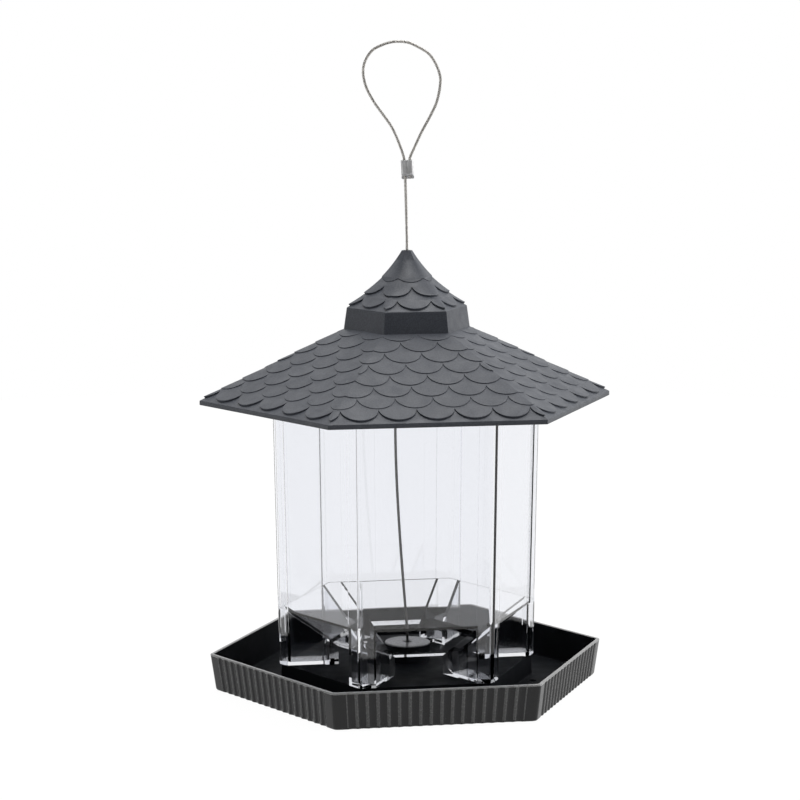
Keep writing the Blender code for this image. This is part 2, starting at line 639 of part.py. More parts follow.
def rope_route():
    """The rope's own points as (sideways, height): up from the stop with a slight bow inside
    the hopper, through the roof and the ferrule, round the loop and back into the ferrule."""
    stop_foot = BOSS_CEILING - SEAT_GAP - WASHER_THICKNESS - SEAT_GAP - STOP_HEIGHT
    inside = [(0.0, stop_foot), (0.0, 0.0230), (-0.0005, 0.0330), (-0.0020, 0.0520),
              (-0.0040, 0.0800), (-0.0056, 0.1100), (-0.0062, 0.1380), (-0.0056, 0.1620),
              (-0.0038, 0.1860), (-0.0015, 0.2060), (-0.0002, 0.2190), (0.0, 0.2270),
              (-0.0003, 0.2450)]
    loop = [(-0.0037, 0.2812), (-0.0077, 0.2902), (-0.0131, 0.2979), (-0.0170, 0.3034),
            (-0.0209, 0.3111), (-0.0222, 0.3181), (-0.0212, 0.3235), (-0.0177, 0.3288),
            (-0.0130, 0.3315), (-0.0084, 0.3330), (-0.0041, 0.3334), (0.0010, 0.3328),
            (0.0064, 0.3303), (0.0111, 0.3273), (0.0142, 0.3230), (0.0161, 0.3188),
            (0.0171, 0.3134), (0.0153, 0.3033), (0.0122, 0.2964), (0.0072, 0.2871),
            (0.0040, 0.2801)]
    live = [ferrule_point(0.0, 0.0), ferrule_point(0.0, FERRULE_HEIGHT)]
    dead = [ferrule_point(bore_spacing(), FERRULE_HEIGHT), ferrule_point(bore_spacing(), DEAD_END_INSET)]
    return inside + live + loop + dead


def smooth_line(points, count):
    """Points at even steps along a smooth curve through the given ones."""
    dense = []
    padded = [points[0]] + points + [points[-1]]
    for before, start, end, after in zip(padded, padded[1:], padded[2:], padded[3:]):
        span = max((end - start).length, 1e-9)
        lead_in = (end - before) / max((start - before).length + span, 1e-9) * span
        lead_out = (after - start) / max((after - end).length + span, 1e-9) * span
        for step in range(WIRE_SUBSTEPS):
            u = step / WIRE_SUBSTEPS
            dense.append(start * (2 * u ** 3 - 3 * u ** 2 + 1) + lead_in * (u ** 3 - 2 * u ** 2 + u)
                         + end * (3 * u ** 2 - 2 * u ** 3) + lead_out * (u ** 3 - u ** 2))
    dense.append(points[-1])
    lengths = [0.0]
    for start, end in zip(dense, dense[1:]):
        lengths.append(lengths[-1] + (end - start).length)
    line = []
    at = 0
    for step in range(count):
        want = lengths[-1] * step / (count - 1)
        while at < len(lengths) - 2 and lengths[at + 1] < want:
            at += 1
        share = (want - lengths[at]) / max(lengths[at + 1] - lengths[at], 1e-9)
        line.append(dense[at].lerp(dense[at + 1], min(share, 1.0)))
    return line


def build_rope(group, material):
    route = [rope_frame() @ Vector((side, 0, height)) for side, height in rope_route()]
    line = smooth_line(route, WIRE_POINTS)
    curve = bpy.data.curves.new("hanging_rope", "CURVE")
    curve.dimensions = "3D"
    curve.bevel_depth = WIRE_RADIUS
    curve.bevel_resolution = 2
    curve.use_fill_caps = True
    spline = curve.splines.new("POLY")
    spline.points.add(len(line) - 1)
    for point, place in zip(spline.points, line):
        point.co = (*place, 1.0)
    rope = bpy.data.objects.new("hanging_rope", curve)
    group.objects.link(rope)
    curve.materials.append(material)
    length = sum((b - a).length for a, b in zip(line, line[1:]))
    print(f"Rope length {length:.4f} m")


def oval_outline(half_length, radius, steps):
    """A slot-shaped outline around two centres that lie half_length either side of zero."""
    points = []
    for end in (1, -1):
        for step in range(steps + 1):
            angle = pi * step / steps - pi / 2 + (0 if end > 0 else pi)
            points.append((end * half_length + radius * cos(angle), radius * sin(angle)))
    return points


def build_ferrule(group, cutters, material):
    """A double-barrel sleeve: the rope passes one bore, and its end returns into the other."""
    bore = WIRE_RADIUS + WIRE_CLEARANCE
    middle = bore_spacing() / 2
    outline = oval_outline(middle, bore + FERRULE_WALL, FERRULE_STEPS)
    sleeve = extruded([(middle + x, y, 0) for x, y in outline], (0, 0, FERRULE_HEIGHT))
    bores = []
    for centre in (0.0, bore_spacing()):
        bores.append(cylinder(bore, -FERRULE_WALL, FERRULE_HEIGHT + FERRULE_WALL, HOLE_STEPS,
                              (centre, 0)))
    place = (rope_frame().to_4x4() @ Matrix.Translation((FERRULE_SIDE, 0, FERRULE_FOOT))
             @ Matrix.Rotation(-FERRULE_LEAN, 4, "Y"))
    for bm in [sleeve] + bores:
        bmesh.ops.transform(bm, matrix=place, verts=bm.verts)
    ferrule = add_object("loop_ferrule", sleeve, group, material)
    for number, bm in enumerate(bores):
        combine(ferrule, add_cutter(f"ferrule_bore_{number}", bm, cutters), "DIFFERENCE")
    smooth_by_angle(ferrule)


def ring(name, inner, outer, foot, top, edge, group, material):
    """A collar with chamfered outer edges."""
    profile = [(inner, top), (outer - edge, top), (outer, top - edge), (outer, foot + edge),
               (outer - edge, foot), (inner, foot)]
    bm = bmesh.new()
    verts, edges = chain(bm, [(radius, 0.0, height) for radius, height in profile])
    edges.append(bm.edges.new((verts[-1], verts[0])))
    bmesh.ops.spin(bm, geom=verts + edges, axis=(0, 0, 1), cent=(0, 0, 0), angle=2 * pi,
                   steps=ROUND_STEPS, use_merge=True)
    bmesh.ops.remove_doubles(bm, verts=bm.verts, dist=MERGE)
    bmesh.ops.recalc_face_normals(bm, faces=bm.faces)
    item = add_object(name, bm, group, material)
    smooth_by_angle(item)
    return item


def build_stop(group, material):
    """The washer under the tray's boss and the sleeve crimped on the rope's end below it."""
    bore = WIRE_RADIUS + WIRE_CLEARANCE
    washer_top = BOSS_CEILING - SEAT_GAP
    washer_foot = washer_top - WASHER_THICKNESS
    ring("stop_washer", bore, WASHER_RADIUS, washer_foot, washer_top, WASHER_EDGE, group, material)
    sleeve_top = washer_foot - SEAT_GAP
    ring("stop_sleeve", bore, STOP_RADIUS, sleeve_top - STOP_HEIGHT, sleeve_top, STOP_EDGE,
         group, material)


def main():
    clear_scene()
    feeder = new_collection("bird_feeder")
    cutters = new_collection("cutters")
    slate = new_material("slate_grey_plastic", (0.075, 0.079, 0.088), 0.5)
    black = new_material("black_plastic", (0.012, 0.012, 0.013), 0.3)
    clear = new_material("clear_plastic", (0.95, 0.96, 0.97), 0.03, transmission=1.0)
    steel = new_material("steel_rope", (0.45, 0.45, 0.44), 0.35, metallic=1.0)
    aluminium = new_material("aluminium", (0.75, 0.75, 0.76), 0.3, metallic=1.0)
    build_tray(feeder, cutters, black)
    build_hopper(feeder, cutters, clear)
    build_roof(feeder, cutters, slate)
    build_rope(feeder, steel)
    build_ferrule(feeder, cutters, aluminium)
    build_stop(feeder, aluminium)


main()
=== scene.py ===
"""Looks of a hanging seed feeder: a shingled slate-grey roof, a clear hopper, a fluted black tray
and a stranded steel rope with a crimped loop. Metres, +Z up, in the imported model's own frame."""
from math import asin, atan2, ceil, cos, hypot, pi, radians, sin, tan

import bmesh
import bpy
from mathutils import Matrix, Vector


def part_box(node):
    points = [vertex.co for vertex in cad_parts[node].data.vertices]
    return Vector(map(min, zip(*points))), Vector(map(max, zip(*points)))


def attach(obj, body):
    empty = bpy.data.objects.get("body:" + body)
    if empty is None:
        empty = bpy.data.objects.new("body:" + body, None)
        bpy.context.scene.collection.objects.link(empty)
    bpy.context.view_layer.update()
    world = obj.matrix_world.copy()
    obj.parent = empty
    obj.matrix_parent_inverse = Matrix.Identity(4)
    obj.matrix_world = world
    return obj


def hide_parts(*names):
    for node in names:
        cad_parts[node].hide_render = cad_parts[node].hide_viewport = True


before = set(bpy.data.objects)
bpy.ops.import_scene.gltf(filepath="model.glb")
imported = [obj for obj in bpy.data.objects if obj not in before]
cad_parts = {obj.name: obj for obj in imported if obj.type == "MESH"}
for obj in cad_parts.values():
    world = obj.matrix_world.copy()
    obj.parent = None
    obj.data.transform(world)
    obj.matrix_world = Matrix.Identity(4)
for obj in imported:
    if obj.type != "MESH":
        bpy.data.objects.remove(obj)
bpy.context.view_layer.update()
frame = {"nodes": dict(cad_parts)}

SIDES = 6
HALF_SIDE = pi / SIDES
SEAT_GAP = 0.0003
MERGE = 1e-6
TINY = 1e-9
OVERCUT = 0.001
HOLE_SEGMENTS = 28
FACING_UP = 0.5
SMOOTH_BELOW = radians(50)


def apothem(reach):
    """A hexagon's distance to its flats, from that to its corners."""
    return reach * cos(HALF_SIDE)


def corner(flat):
    """A hexagon's distance to its corners, from that to its flats."""
    return flat / cos(HALF_SIDE)


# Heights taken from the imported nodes
BOSS_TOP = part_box("tray")[1][2]
HOPPER_TOP_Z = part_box("hopper")[1][2]
EAVE_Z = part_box("roof")[0][2]
APEX_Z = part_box("roof")[1][2]
EAVE_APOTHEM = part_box("roof")[1][1]

# Tray
TRAY_HEIGHT_RIM = 0.0194
TRAY_RIM_CORNER = 0.1038
TRAY_FOOT_CORNER = 0.1009
TRAY_WALL = 0.0018
TRAY_FLOOR = 0.0020
TRAY_CORNER_ROUND = 0.0025
FLUTES = 17
FLUTE_MARGIN = 0.0048
FLUTE_DEPTH = 0.0009
FLUTE_STEPS = 8
FLUTE_RIDGE = 0.045
CORNER_STEPS = 4
PLATFORM_CORNER = 0.0665
PLATFORM_TOP = 0.0127
PLATFORM_DRAFT = 0.0004
BOSS_RADIUS = 0.0120
BOSS_ARC_SHARE = 0.8
BOSS_WALL = 0.0020
TRAY_WIRE_HOLE = 0.0020
DRAIN_RADIUS = 0.0019
DRAIN_GAP = 0.0055
DRAIN_SHIFT = 0.0186

# Where the tray has a painted highlight or is glossier, and the place of each material on it
HIGHLIGHT_RIM_DEPTH = 0.0008
HIGHLIGHT_STEP_DEPTH = 0.0006
HIGHLIGHT_STEP_REACH = 0.0010
HIGHLIGHT_FLUTE_SHARE = 0.2
RIDGE_FOOT_Z = 0.0012
BOSS_TOP_ROUND = 0.0007
FACING_OUT = 0.4
WALL, RIM, RIDGES = 1, 2, 3

# Hopper. Short edges beside the ramps' tips cap the round of its edges below the width here.
HOPPER_EDGE = 0.00030
HOPPER_SHARP = radians(22)
HOPPER_FLAT_WIDTH = 0.0006
CORNER_ROUND = 0.0010
INNER_ROUND = 0.0012
ROUND_SEGMENTS = 5
ALMOST_FLAT = radians(0.5)
CORNER_REACH = 0.0655
CORNER_HEIGHT = 0.10
RAMP_TOP_Z = 0.0440
HOPPER_TOP_CORNER = 0.0709
HOPPER_WALL = 0.0022

# Roof
FASCIA_HEIGHT = 0.0023
ROOF_RISE = 0.0352
ROOF_WALL = 0.0020
NECK_FOOT_CORNER = 0.0330
NECK_TOP_CORNER = 0.0314
NECK_HEIGHT = 0.0112
CUPOLA_HEIGHT = 0.0289
CUPOLA_SAG = 0.0025
CUPOLA_STEPS = 16
APEX_CORNER = 0.0026
APEX_THICKNESS = 0.0060
APEX_HOLE = 0.0016
SKIRT_DEPTH = 0.0085
SKIRT_WALL = 0.0016
SKIRT_CLEARANCE = 0.0008
ROOF_EDGE = 0.0003
ROOF_SHARP = radians(24)
PILOT_SHARE = 0.8
# The painted shade on the drip edge fades out over this height, up to the drip edge's top
DRIP_EDGE_SHADE_FADE = 0.0007

# Shingles
SHINGLE_WIDTH = 0.0187
SHINGLE_DROP = 0.0080
EAVE_SHINGLE_LIFT = 0.0010
SHINGLE_LIFT = 0.00085
SHINGLE_TUCK = 0.0001
SHINGLE_EDGE = 0.00022
SHINGLE_STEPS = 18
CUSP_MARGIN = 0.0010
COURSE_START = 0.0020
COURSE_PITCH = 0.0093
CUPOLA_SHINGLE_WIDTH = 0.0174
CUPOLA_SHINGLE_DROP = 0.0060
CUPOLA_COURSE_START = 0.0014
CUPOLA_COURSE_PITCH = 0.0092
CUPOLA_LIFTS = (0.0010, 0.0012, 0.0008)
CUPOLA_TUCK = 0.0001
CUPOLA_BEND_STEP = 0.0015

# Rope
WIRE_RADIUS = 0.00075
WIRE_CLEARANCE = 0.0003
STRANDS = 6
STRAND_LAY = 0.0105
STRAND_STEP = 0.0009
CURVE_STEPS = 24
ROPE_SMOOTH_BELOW = radians(60)
FERRULE_FOOT = 0.2638
FERRULE_HEIGHT = 0.0097
FERRULE_SIDE = -0.00085
FERRULE_LEAN = radians(3.0)
FERRULE_WALL = 0.0008
FERRULE_WEB = 0.0006
FERRULE_SEGMENTS = 36
FERRULE_TURN = radians(5)
FERRULE_BRIDGE_CUTS = 5
FERRULE_LEVELS = 12
FERRULE_PINCH = 0.34
FERRULE_WAIST = 0.07
FERRULE_PINCH_REACH = 0.8
FERRULE_EDGE = 0.00018
FERRULE_SHARP = radians(50)
FERRULE_SLANT = ((-0.003, -0.001), (-0.003, 0.0040), (0.0016, -0.001))
BORE_SEGMENTS = 24
DEAD_END_INSET = 0.0010
WASHER_THICKNESS = 0.0010
STOP_HEIGHT = 0.0080
ROPE_PLANE_TURN = radians(-9.3)
# Painted shade on the rope inside the feeder: darkened below this height, fading out above it
SHADED_BELOW_Z = 0.20
SHADE_FADE = 0.02

# The rope's own points as (sideways, height): inside the feeder, where it bows a little, and
# round the loop
ROPE_INSIDE = ((0.0, 0.0230), (-0.0005, 0.0330), (-0.0020, 0.0520), (-0.0040, 0.0800),
               (-0.0056, 0.1100), (-0.0062, 0.1380), (-0.0056, 0.1620), (-0.0038, 0.1860),
               (-0.0015, 0.2060), (-0.0002, 0.2190), (0.0, 0.2270), (-0.0003, 0.2450))
ROPE_LOOP = ((-0.0037, 0.2812), (-0.0077, 0.2902), (-0.0131, 0.2979), (-0.0170, 0.3034),
             (-0.0209, 0.3111), (-0.0222, 0.3181), (-0.0212, 0.3235), (-0.0177, 0.3288),
             (-0.0130, 0.3315), (-0.0084, 0.3330), (-0.0041, 0.3334), (0.0010, 0.3328),
             (0.0064, 0.3303), (0.0111, 0.3273), (0.0142, 0.3230), (0.0161, 0.3188),
             (0.0171, 0.3134), (0.0153, 0.3033), (0.0122, 0.2964), (0.0072, 0.2871),
             (0.0040, 0.2801))

# Worked out from the sizes above
STRAND_RADIUS = WIRE_RADIUS / 3
BOSS_CEILING = BOSS_TOP - BOSS_WALL
HOPPER_TOP_APOTHEM = apothem(HOPPER_TOP_CORNER)
NECK_FOOT_APOTHEM = apothem(NECK_FOOT_CORNER)
NECK_TOP_APOTHEM = apothem(NECK_TOP_CORNER)
APEX_APOTHEM = apothem(APEX_CORNER)
FASCIA_TOP_Z = EAVE_Z + FASCIA_HEIGHT
NECK_FOOT_Z = FASCIA_TOP_Z + ROOF_RISE
NECK_TOP_Z = NECK_FOOT_Z + NECK_HEIGHT
ROOF_SLOPE = atan2(ROOF_RISE, EAVE_APOTHEM - NECK_FOOT_APOTHEM)
ROOF_SLOPE_LENGTH = hypot(ROOF_RISE, EAVE_APOTHEM - NECK_FOOT_APOTHEM)
SKIRT_APOTHEM = HOPPER_TOP_APOTHEM - HOPPER_WALL - SKIRT_CLEARANCE

# Camera, as the photograph was taken
CAMERA_PLACE = (-0.21376, -1.28549, 0.33836)
CAMERA_YAW = radians(9.28)
CAMERA_PITCH = radians(8.236)
CAMERA_ROLL = radians(-0.065)
CAMERA_LENS = 114.53
CAMERA_REACH = 50

# Studio
BRIGHT_SIDE = (0.50, 0.80, 0.33)
FADE_START = 0.02
FADE_END = 0.55
ROOM_DARKEST = 0.03
GLASS_LIGHT = 0.40
FLOOR_RADIUS = 1.1
FLOOR_SEGMENTS = 64
FLOOR_GAP = 0.0001
FLOOR_GREY = 0.8
FLOOR_GLOW = 1.05
FLOOR_GLOW_SHARE = 0.93
LAMPS_AIM = (0, 0, 0.15)
# Name, place, width, height and brightness of each lamp
LAMPS = (("top_light", (0.05, 0.0, 1.5), 1.2, 0.8, 3.4),
         ("right_light", (1.3, -0.1, 0.3), 0.5, 0.9, 2.9),
         ("left_light", (-1.3, 0.1, 0.2), 0.3, 0.9, 2.7))


# Shapes

def everything(bm):
    """All the vertices, edges and faces, as a list."""
    return bm.verts[:] + bm.edges[:] + bm.faces[:]


def mesh_of(bm, name):
    """The bmesh as a mesh; the bmesh is freed."""
    mesh = bpy.data.meshes.new(name)
    bm.to_mesh(mesh)
    bm.free()
    return mesh


def placed(name, data):
    """A new object in the scene, at its origin."""
    item = bpy.data.objects.new(name, data)
    bpy.context.scene.collection.objects.link(item)
    return item


def spun_ring(profile, steps):
    """A ring turned about Z from a closed outline of (radius, height) points."""
    bm = bmesh.new()
    verts = [bm.verts.new((radius, 0.0, height)) for radius, height in profile]
    edges = [bm.edges.new(pair) for pair in zip(verts, verts[1:])]
    edges.append(bm.edges.new((verts[-1], verts[0])))
    bmesh.ops.spin(bm, geom=verts + edges, axis=(0, 0, 1), cent=(0, 0, 0), angle=2 * pi,
                   steps=steps, use_merge=True)
    bmesh.ops.remove_doubles(bm, verts=bm.verts, dist=MERGE)
    bmesh.ops.recalc_face_normals(bm, faces=bm.faces)
    return bm


def cylinder(radius, foot, top, segments, centre=(0.0, 0.0)):
    """An upright cylinder between two heights."""
    bm = bmesh.new()
    place = Matrix.Translation((centre[0], centre[1], (foot + top) / 2))
    bmesh.ops.create_cone(bm, cap_ends=True, segments=segments, radius1=radius,
                          radius2=radius, depth=top - foot, matrix=place)
    return bm


def extruded(points, direction):
    """A solid from a flat closed outline of points, pushed along a vector."""
    bm = bmesh.new()
    face = bm.faces.new([bm.verts.new(point) for point in points])
    grown = bmesh.ops.extrude_face_region(bm, geom=[face])
    moved = [part for part in grown["geom"] if isinstance(part, bmesh.types.BMVert)]
    bmesh.ops.translate(bm, verts=moved, vec=direction)
    bmesh.ops.recalc_face_normals(bm, faces=bm.faces)
    return bm


def repeat_round(bm):
    """Copies what the bmesh holds to all six sides."""
    bmesh.ops.spin(bm, geom=everything(bm), axis=(0, 0, 1), cent=(0, 0, 0), steps=SIDES - 1,
                   angle=2 * pi * (SIDES - 1) / SIDES, use_duplicate=True)
    return bm


def turn(bm, angle):
    """Turns what the bmesh holds about Z."""
    bmesh.ops.rotate(bm, verts=bm.verts, cent=(0, 0, 0),
                     matrix=Matrix.Rotation(angle, 3, "Z"))
    return bm


def joined(*parts):
    """One bmesh that holds several."""
    whole = bmesh.new()
    for part in parts:
        mesh = mesh_of(part, "part")
        whole.from_mesh(mesh)
        bpy.data.meshes.remove(mesh)
    return whole


def carved(bm, *cutters):
    """The bmesh with the cutters taken out of it."""
    scratch = []
    for number, part in enumerate((bm,) + cutters):
        name = f"scratch_{number}"
        scratch.append(placed(name, mesh_of(part, name)))
    for cutter in scratch[1:]:
        step = scratch[0].modifiers.new("cut", "BOOLEAN")
        step.operation = "DIFFERENCE"
        step.solver = "EXACT"
        step.object = cutter
    bpy.context.view_layer.update()
    graph = bpy.context.evaluated_depsgraph_get()
    result = bmesh.new()
    result.from_mesh(scratch[0].evaluated_get(graph).to_mesh())
    for item in scratch:
        bpy.data.objects.remove(item, do_unlink=True)
    return result


def sharp_edges(bm, least):
    """The edges whose two faces turn by more than an angle."""
    return [e for e in bm.edges if len(e.link_faces) == 2 and e.calc_face_angle(0) > least]


def round_off(bm, edges, width, segments=2, clamp=True):
    """Gives the edges a round that starts that far from each of them."""
    bmesh.ops.bevel(bm, geom=edges, offset=width, offset_type="OFFSET", affect="EDGES",
                    segments=segments, profile=0.5, material=-1, clamp_overlap=clamp)


def settle_normals(mesh, limit, flat_width):
    """Shades the mesh smooth up to an angle. Each corner takes the mean of the normals round
    it, weighted by the square of the area, so that the flats beside a rounded edge stay flat.
    Where a flat width is given, faces wider than that keep their own normal."""
    around = [[] for _ in mesh.vertices]
    for polygon in mesh.polygons:
        entry = (polygon.normal.copy(), polygon.area ** 2)
        for vertex in polygon.vertices:
            around[vertex].append(entry)
    least = cos(limit)
    normals = []
    places = [vertex.co for vertex in mesh.vertices]
    for polygon in mesh.polygons:
        if flat_width:
            longest = max((places[start] - places[end]).length
                          for start, end in polygon.edge_keys)
            if polygon.area > flat_width * longest:
                normals += [polygon.normal.copy()] * len(polygon.vertices)
                continue
        for vertex in polygon.vertices:
            total = Vector()
            for normal, weight in around[vertex]:
                if normal.dot(polygon.normal) > least:
                    total += normal * weight
            normals.append(total.normalized() if total.length else polygon.normal.copy())
    mesh.shade_smooth()
    mesh.normals_split_custom_set(normals)


def piece(name, bm, body, material, slot, *nodes, smooth=SMOOTH_BELOW, flat_width=0.0):
    """The finished object: it rides a body and stands for the named nodes."""
    item = placed(name, mesh_of(bm, name))
    item.data.materials.append(material)
    settle_normals(item.data, smooth, flat_width)
    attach(item, body)
    if nodes:
        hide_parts(*nodes)
    return item


# Materials

class Finish:
    """A material under way: the shader and short ways to feed it."""

    def __init__(self, name, colour, roughness, metallic=0.0):
        self.material = bpy.data.materials.new(name)
        self.material.use_nodes = True
        self.tree = self.material.node_tree
        self.shader = self.tree.nodes["Principled BSDF"]
        self.shader.inputs["Base Color"].default_value = (*colour, 1.0)
        self.shader.inputs["Roughness"].default_value = roughness
        self.shader.inputs["Metallic"].default_value = metallic
        self.place = self.tree.nodes.new("ShaderNodeTexCoord").outputs["Object"]

    def link(self, source, target):
        self.tree.links.new(source, target)

    def node(self, kind, **settings):
        made = self.tree.nodes.new(kind)
        for key, value in settings.items():
            setattr(made, key, value)
        return made

    def stretched(self, x, y, z):
        """The object's coordinates, scaled unevenly."""
        mapping = self.node("ShaderNodeMapping")
        mapping.inputs["Scale"].default_value = (x, y, z)
        self.link(self.place, mapping.inputs["Vector"])
        return mapping.outputs["Vector"]

    def noise(self, grain, detail=3.0, vector=None):
        """Noise whose grain is about that many metres."""
        made = self.node("ShaderNodeTexNoise")
        made.inputs["Scale"].default_value = 1 / grain
        made.inputs["Detail"].default_value = detail
        self.link(vector or self.place, made.inputs["Vector"])
        return made.outputs["Fac"]

    def ramp(self, value, *stops):
        """A colour ramp through (position, grey or colour) stops."""
        made = self.node("ShaderNodeValToRGB")
        elements = made.color_ramp.elements
        while len(elements) < len(stops):
            elements.new(0.5)
        for element, (position, colour) in zip(elements, stops):
            element.position = position
            shade = colour if isinstance(colour, tuple) else (colour,) * 3
            element.color = (*shade, 1.0)
        self.link(value, made.inputs["Fac"])
        return made.outputs["Color"]

    def mixed(self, share, first, second, how="MIX"):
        """Two colours blended; each input may be a socket, a colour or a number."""
        made = self.node("ShaderNodeMix", data_type="RGBA", blend_type=how)
        for socket, value in ((0, share), (6, first), (7, second)):
            if hasattr(value, "is_linked"):
                self.link(value, made.inputs[socket])
            elif isinstance(value, tuple):
                made.inputs[socket].default_value = (*value, 1.0)
            else:
                made.inputs[socket].default_value = value
        return made.outputs[2]

    def darkened(self, colour, top, fade, tone):
        """The colour times a tone below a height, brightening to itself over the fade."""
        parts = self.node("ShaderNodeSeparateXYZ")
        self.link(self.place, parts.inputs[0])
        shade = self.ramp(parts.outputs["Z"], (top - fade, tone), (top, 1.0))
        return self.mixed(1.0, colour, shade, "MULTIPLY")

    def bump(self, height, depth, strength=1.0):
        """Adds relief on top of any that is there already."""
        made = self.node("ShaderNodeBump")
        made.inputs["Strength"].default_value = strength
        made.inputs["Distance"].default_value = depth
        self.link(height, made.inputs["Height"])
        if self.shader.inputs["Normal"].is_linked:
            self.link(self.shader.inputs["Normal"].links[0].from_socket, made.inputs["Normal"])
        self.link(made.outputs["Normal"], self.shader.inputs["Normal"])

    def colour(self, socket):
        self.link(socket, self.shader.inputs["Base Color"])

    def roughness(self, value, low, high):
        """Roughness between two levels, as a value goes from 0.3 to 0.7."""
        self.link(self.ramp(value, (0.3, low), (0.7, high)), self.shader.inputs["Roughness"])


def slate_plastic():
    """Dark blue-grey moulded plastic with a fine grain, faint clouds and a few pale scuffs. It has
    painted shade on the drip edge, below the eave shingles, where it is darker."""
    finish = Finish("slate_grey_plastic", (0.085, 0.092, 0.106), 0.45)
    clouds = finish.ramp(finish.noise(0.030), (0.35, (0.082, 0.091, 0.112)),
                         (0.68, (0.103, 0.113, 0.136)))
    scuffs = finish.ramp(finish.noise(0.0035, 6.0, finish.stretched(1, 1, 2.5)),
                         (0.70, 0.0), (0.78, 0.5))
    grain = finish.ramp(finish.noise(0.0007, 2.0), (0.36, 0.72), (0.64, 1.0))
    clouds = finish.mixed(1.0, clouds, grain, "MULTIPLY")
    # Painted shade: the colour is darkened on the drip edge, under the eave shingles
    clouds = finish.darkened(clouds, FASCIA_TOP_Z, DRIP_EDGE_SHADE_FADE, 0.45)
    finish.colour(finish.mixed(scuffs, clouds, (0.22, 0.23, 0.24)))
    finish.roughness(finish.noise(0.006), 0.40, 0.56)
    finish.bump(finish.noise(0.0005, 2.0), 0.00003, 0.6)
    finish.bump(finish.noise(0.007, 2.0), 0.00010, 0.35)
    return finish.material


def black_plastic():
    """The tray's black plastic inside: matt, with a little dust and slight waves."""
    finish = Finish("black_plastic", (0.006, 0.006, 0.007), 0.45)
    finish.shader.inputs["Specular IOR Level"].default_value = 0.06
    clouds = finish.ramp(finish.noise(0.020), (0.35, (0.014, 0.016, 0.019)),
                         (0.70, (0.020, 0.022, 0.027)))
    dust = finish.ramp(finish.noise(0.0012, 4.0), (0.70, 0.0), (0.80, 0.25))
    finish.colour(finish.mixed(dust, clouds, (0.06, 0.06, 0.06)))
    finish.roughness(finish.noise(0.008), 0.56, 0.70)
    finish.bump(finish.noise(0.0006, 2.0), 0.00001, 0.5)
    finish.bump(finish.noise(0.010, 2.0), 0.00006, 0.3)
    return finish.material


def fluted_plastic():
    """The same plastic on the fluted wall and the boss's top: glossier, with more dust."""
    finish = Finish("fluted_black_plastic", (0.010, 0.010, 0.011), 0.34)
    clouds = finish.ramp(finish.noise(0.015), (0.35, (0.008, 0.008, 0.009)),
                         (0.70, (0.013, 0.013, 0.014)))
    dust = finish.ramp(finish.noise(0.0010, 4.0), (0.68, 0.0), (0.80, 0.30))
    finish.colour(finish.mixed(dust, clouds, (0.10, 0.10, 0.10)))
    finish.shader.inputs["Specular IOR Level"].default_value = 0.33
    finish.roughness(finish.noise(0.004), 0.18, 0.27)
    finish.bump(finish.noise(0.0005, 2.0), 0.00002, 0.5)
    return finish.material


def highlight_plastic(name, tone, smoothest, roughest):
    """The tray's plastic with a painted highlight: pale on the rim and the platform's edges, less
    so on the ridges between the flutes."""
    finish = Finish(name, (tone,) * 3, 0.22)
    highlight_noise = finish.noise(0.0008, 3.0)
    # Painted highlight: the pale tone stands in for light caught on the edges and ridges
    finish.colour(finish.ramp(highlight_noise, (0.30, (0.78 * tone,) * 3), (0.70, (1.22 * tone,) * 3)))
    finish.roughness(highlight_noise, smoothest, roughest)
    return finish.material


def clear_plastic():
    """Clear polystyrene: colourless, polished, with the slight waves of a thin moulding."""
    finish = Finish("clear_plastic", (0.900, 0.908, 0.932), 0.02)
    finish.shader.inputs["Transmission Weight"].default_value = 1.0
    finish.shader.inputs["IOR"].default_value = 1.50
    finish.roughness(finish.noise(0.012), 0.0, 0.02)
    finish.bump(finish.noise(0.022, 1.0, finish.stretched(1, 1, 0.5)), 0.00001, 0.5)
    return finish.material


def steel_rope():
    """Bright steel wire with duller patches, and painted shade that darkens it inside the feeder.
    """
    finish = Finish("steel_rope", (0.75, 0.73, 0.69), 0.36, 0.45)
    wire = finish.ramp(finish.noise(0.0020), (0.3, (0.66, 0.64, 0.60)),
                       (0.7, (0.86, 0.83, 0.79)))
    # Painted shade: the wire is darkened below the roof, inside the feeder
    finish.colour(finish.darkened(wire, SHADED_BELOW_Z + SHADE_FADE, SHADE_FADE, 0.12))
    finish.roughness(finish.noise(0.0010), 0.24, 0.42)
    finish.bump(finish.noise(0.0003, 2.0, finish.stretched(1, 1, 0.3)), 0.00002, 0.5)
    return finish.material


def soft_metal(name, tone, metallic):
    """Aluminium or zinc, dulled pale, with small tool marks."""
    finish = Finish(name, (tone, tone, tone + 0.01), 0.34, metallic)
    marks = finish.noise(0.0014, 3.0, finish.stretched(1, 1, 0.3))
    finish.colour(finish.ramp(marks, (0.3, (tone * 0.9,) * 3), (0.7, (tone * 1.08,) * 3)))
    finish.roughness(finish.noise(0.0015), 0.28, 0.42)
    finish.bump(marks, 0.00002, 0.4)
    return finish.material


# Rope

def rope_frame():
    """Turns the rope's plane from XZ to where the loop stands."""
    return Matrix.Rotation(ROPE_PLANE_TURN, 3, "Z")


def bore_spacing():
    """How far apart the ferrule's two bores are."""
    return 2 * (WIRE_RADIUS + WIRE_CLEARANCE) + FERRULE_WEB


def ferrule_point(across, along):
    """A point (sideways, height) in the ferrule, from the foot of its live bore."""
    side = FERRULE_SIDE + across * cos(FERRULE_LEAN) - along * sin(FERRULE_LEAN)
    return side, FERRULE_FOOT + across * sin(FERRULE_LEAN) + along * cos(FERRULE_LEAN)


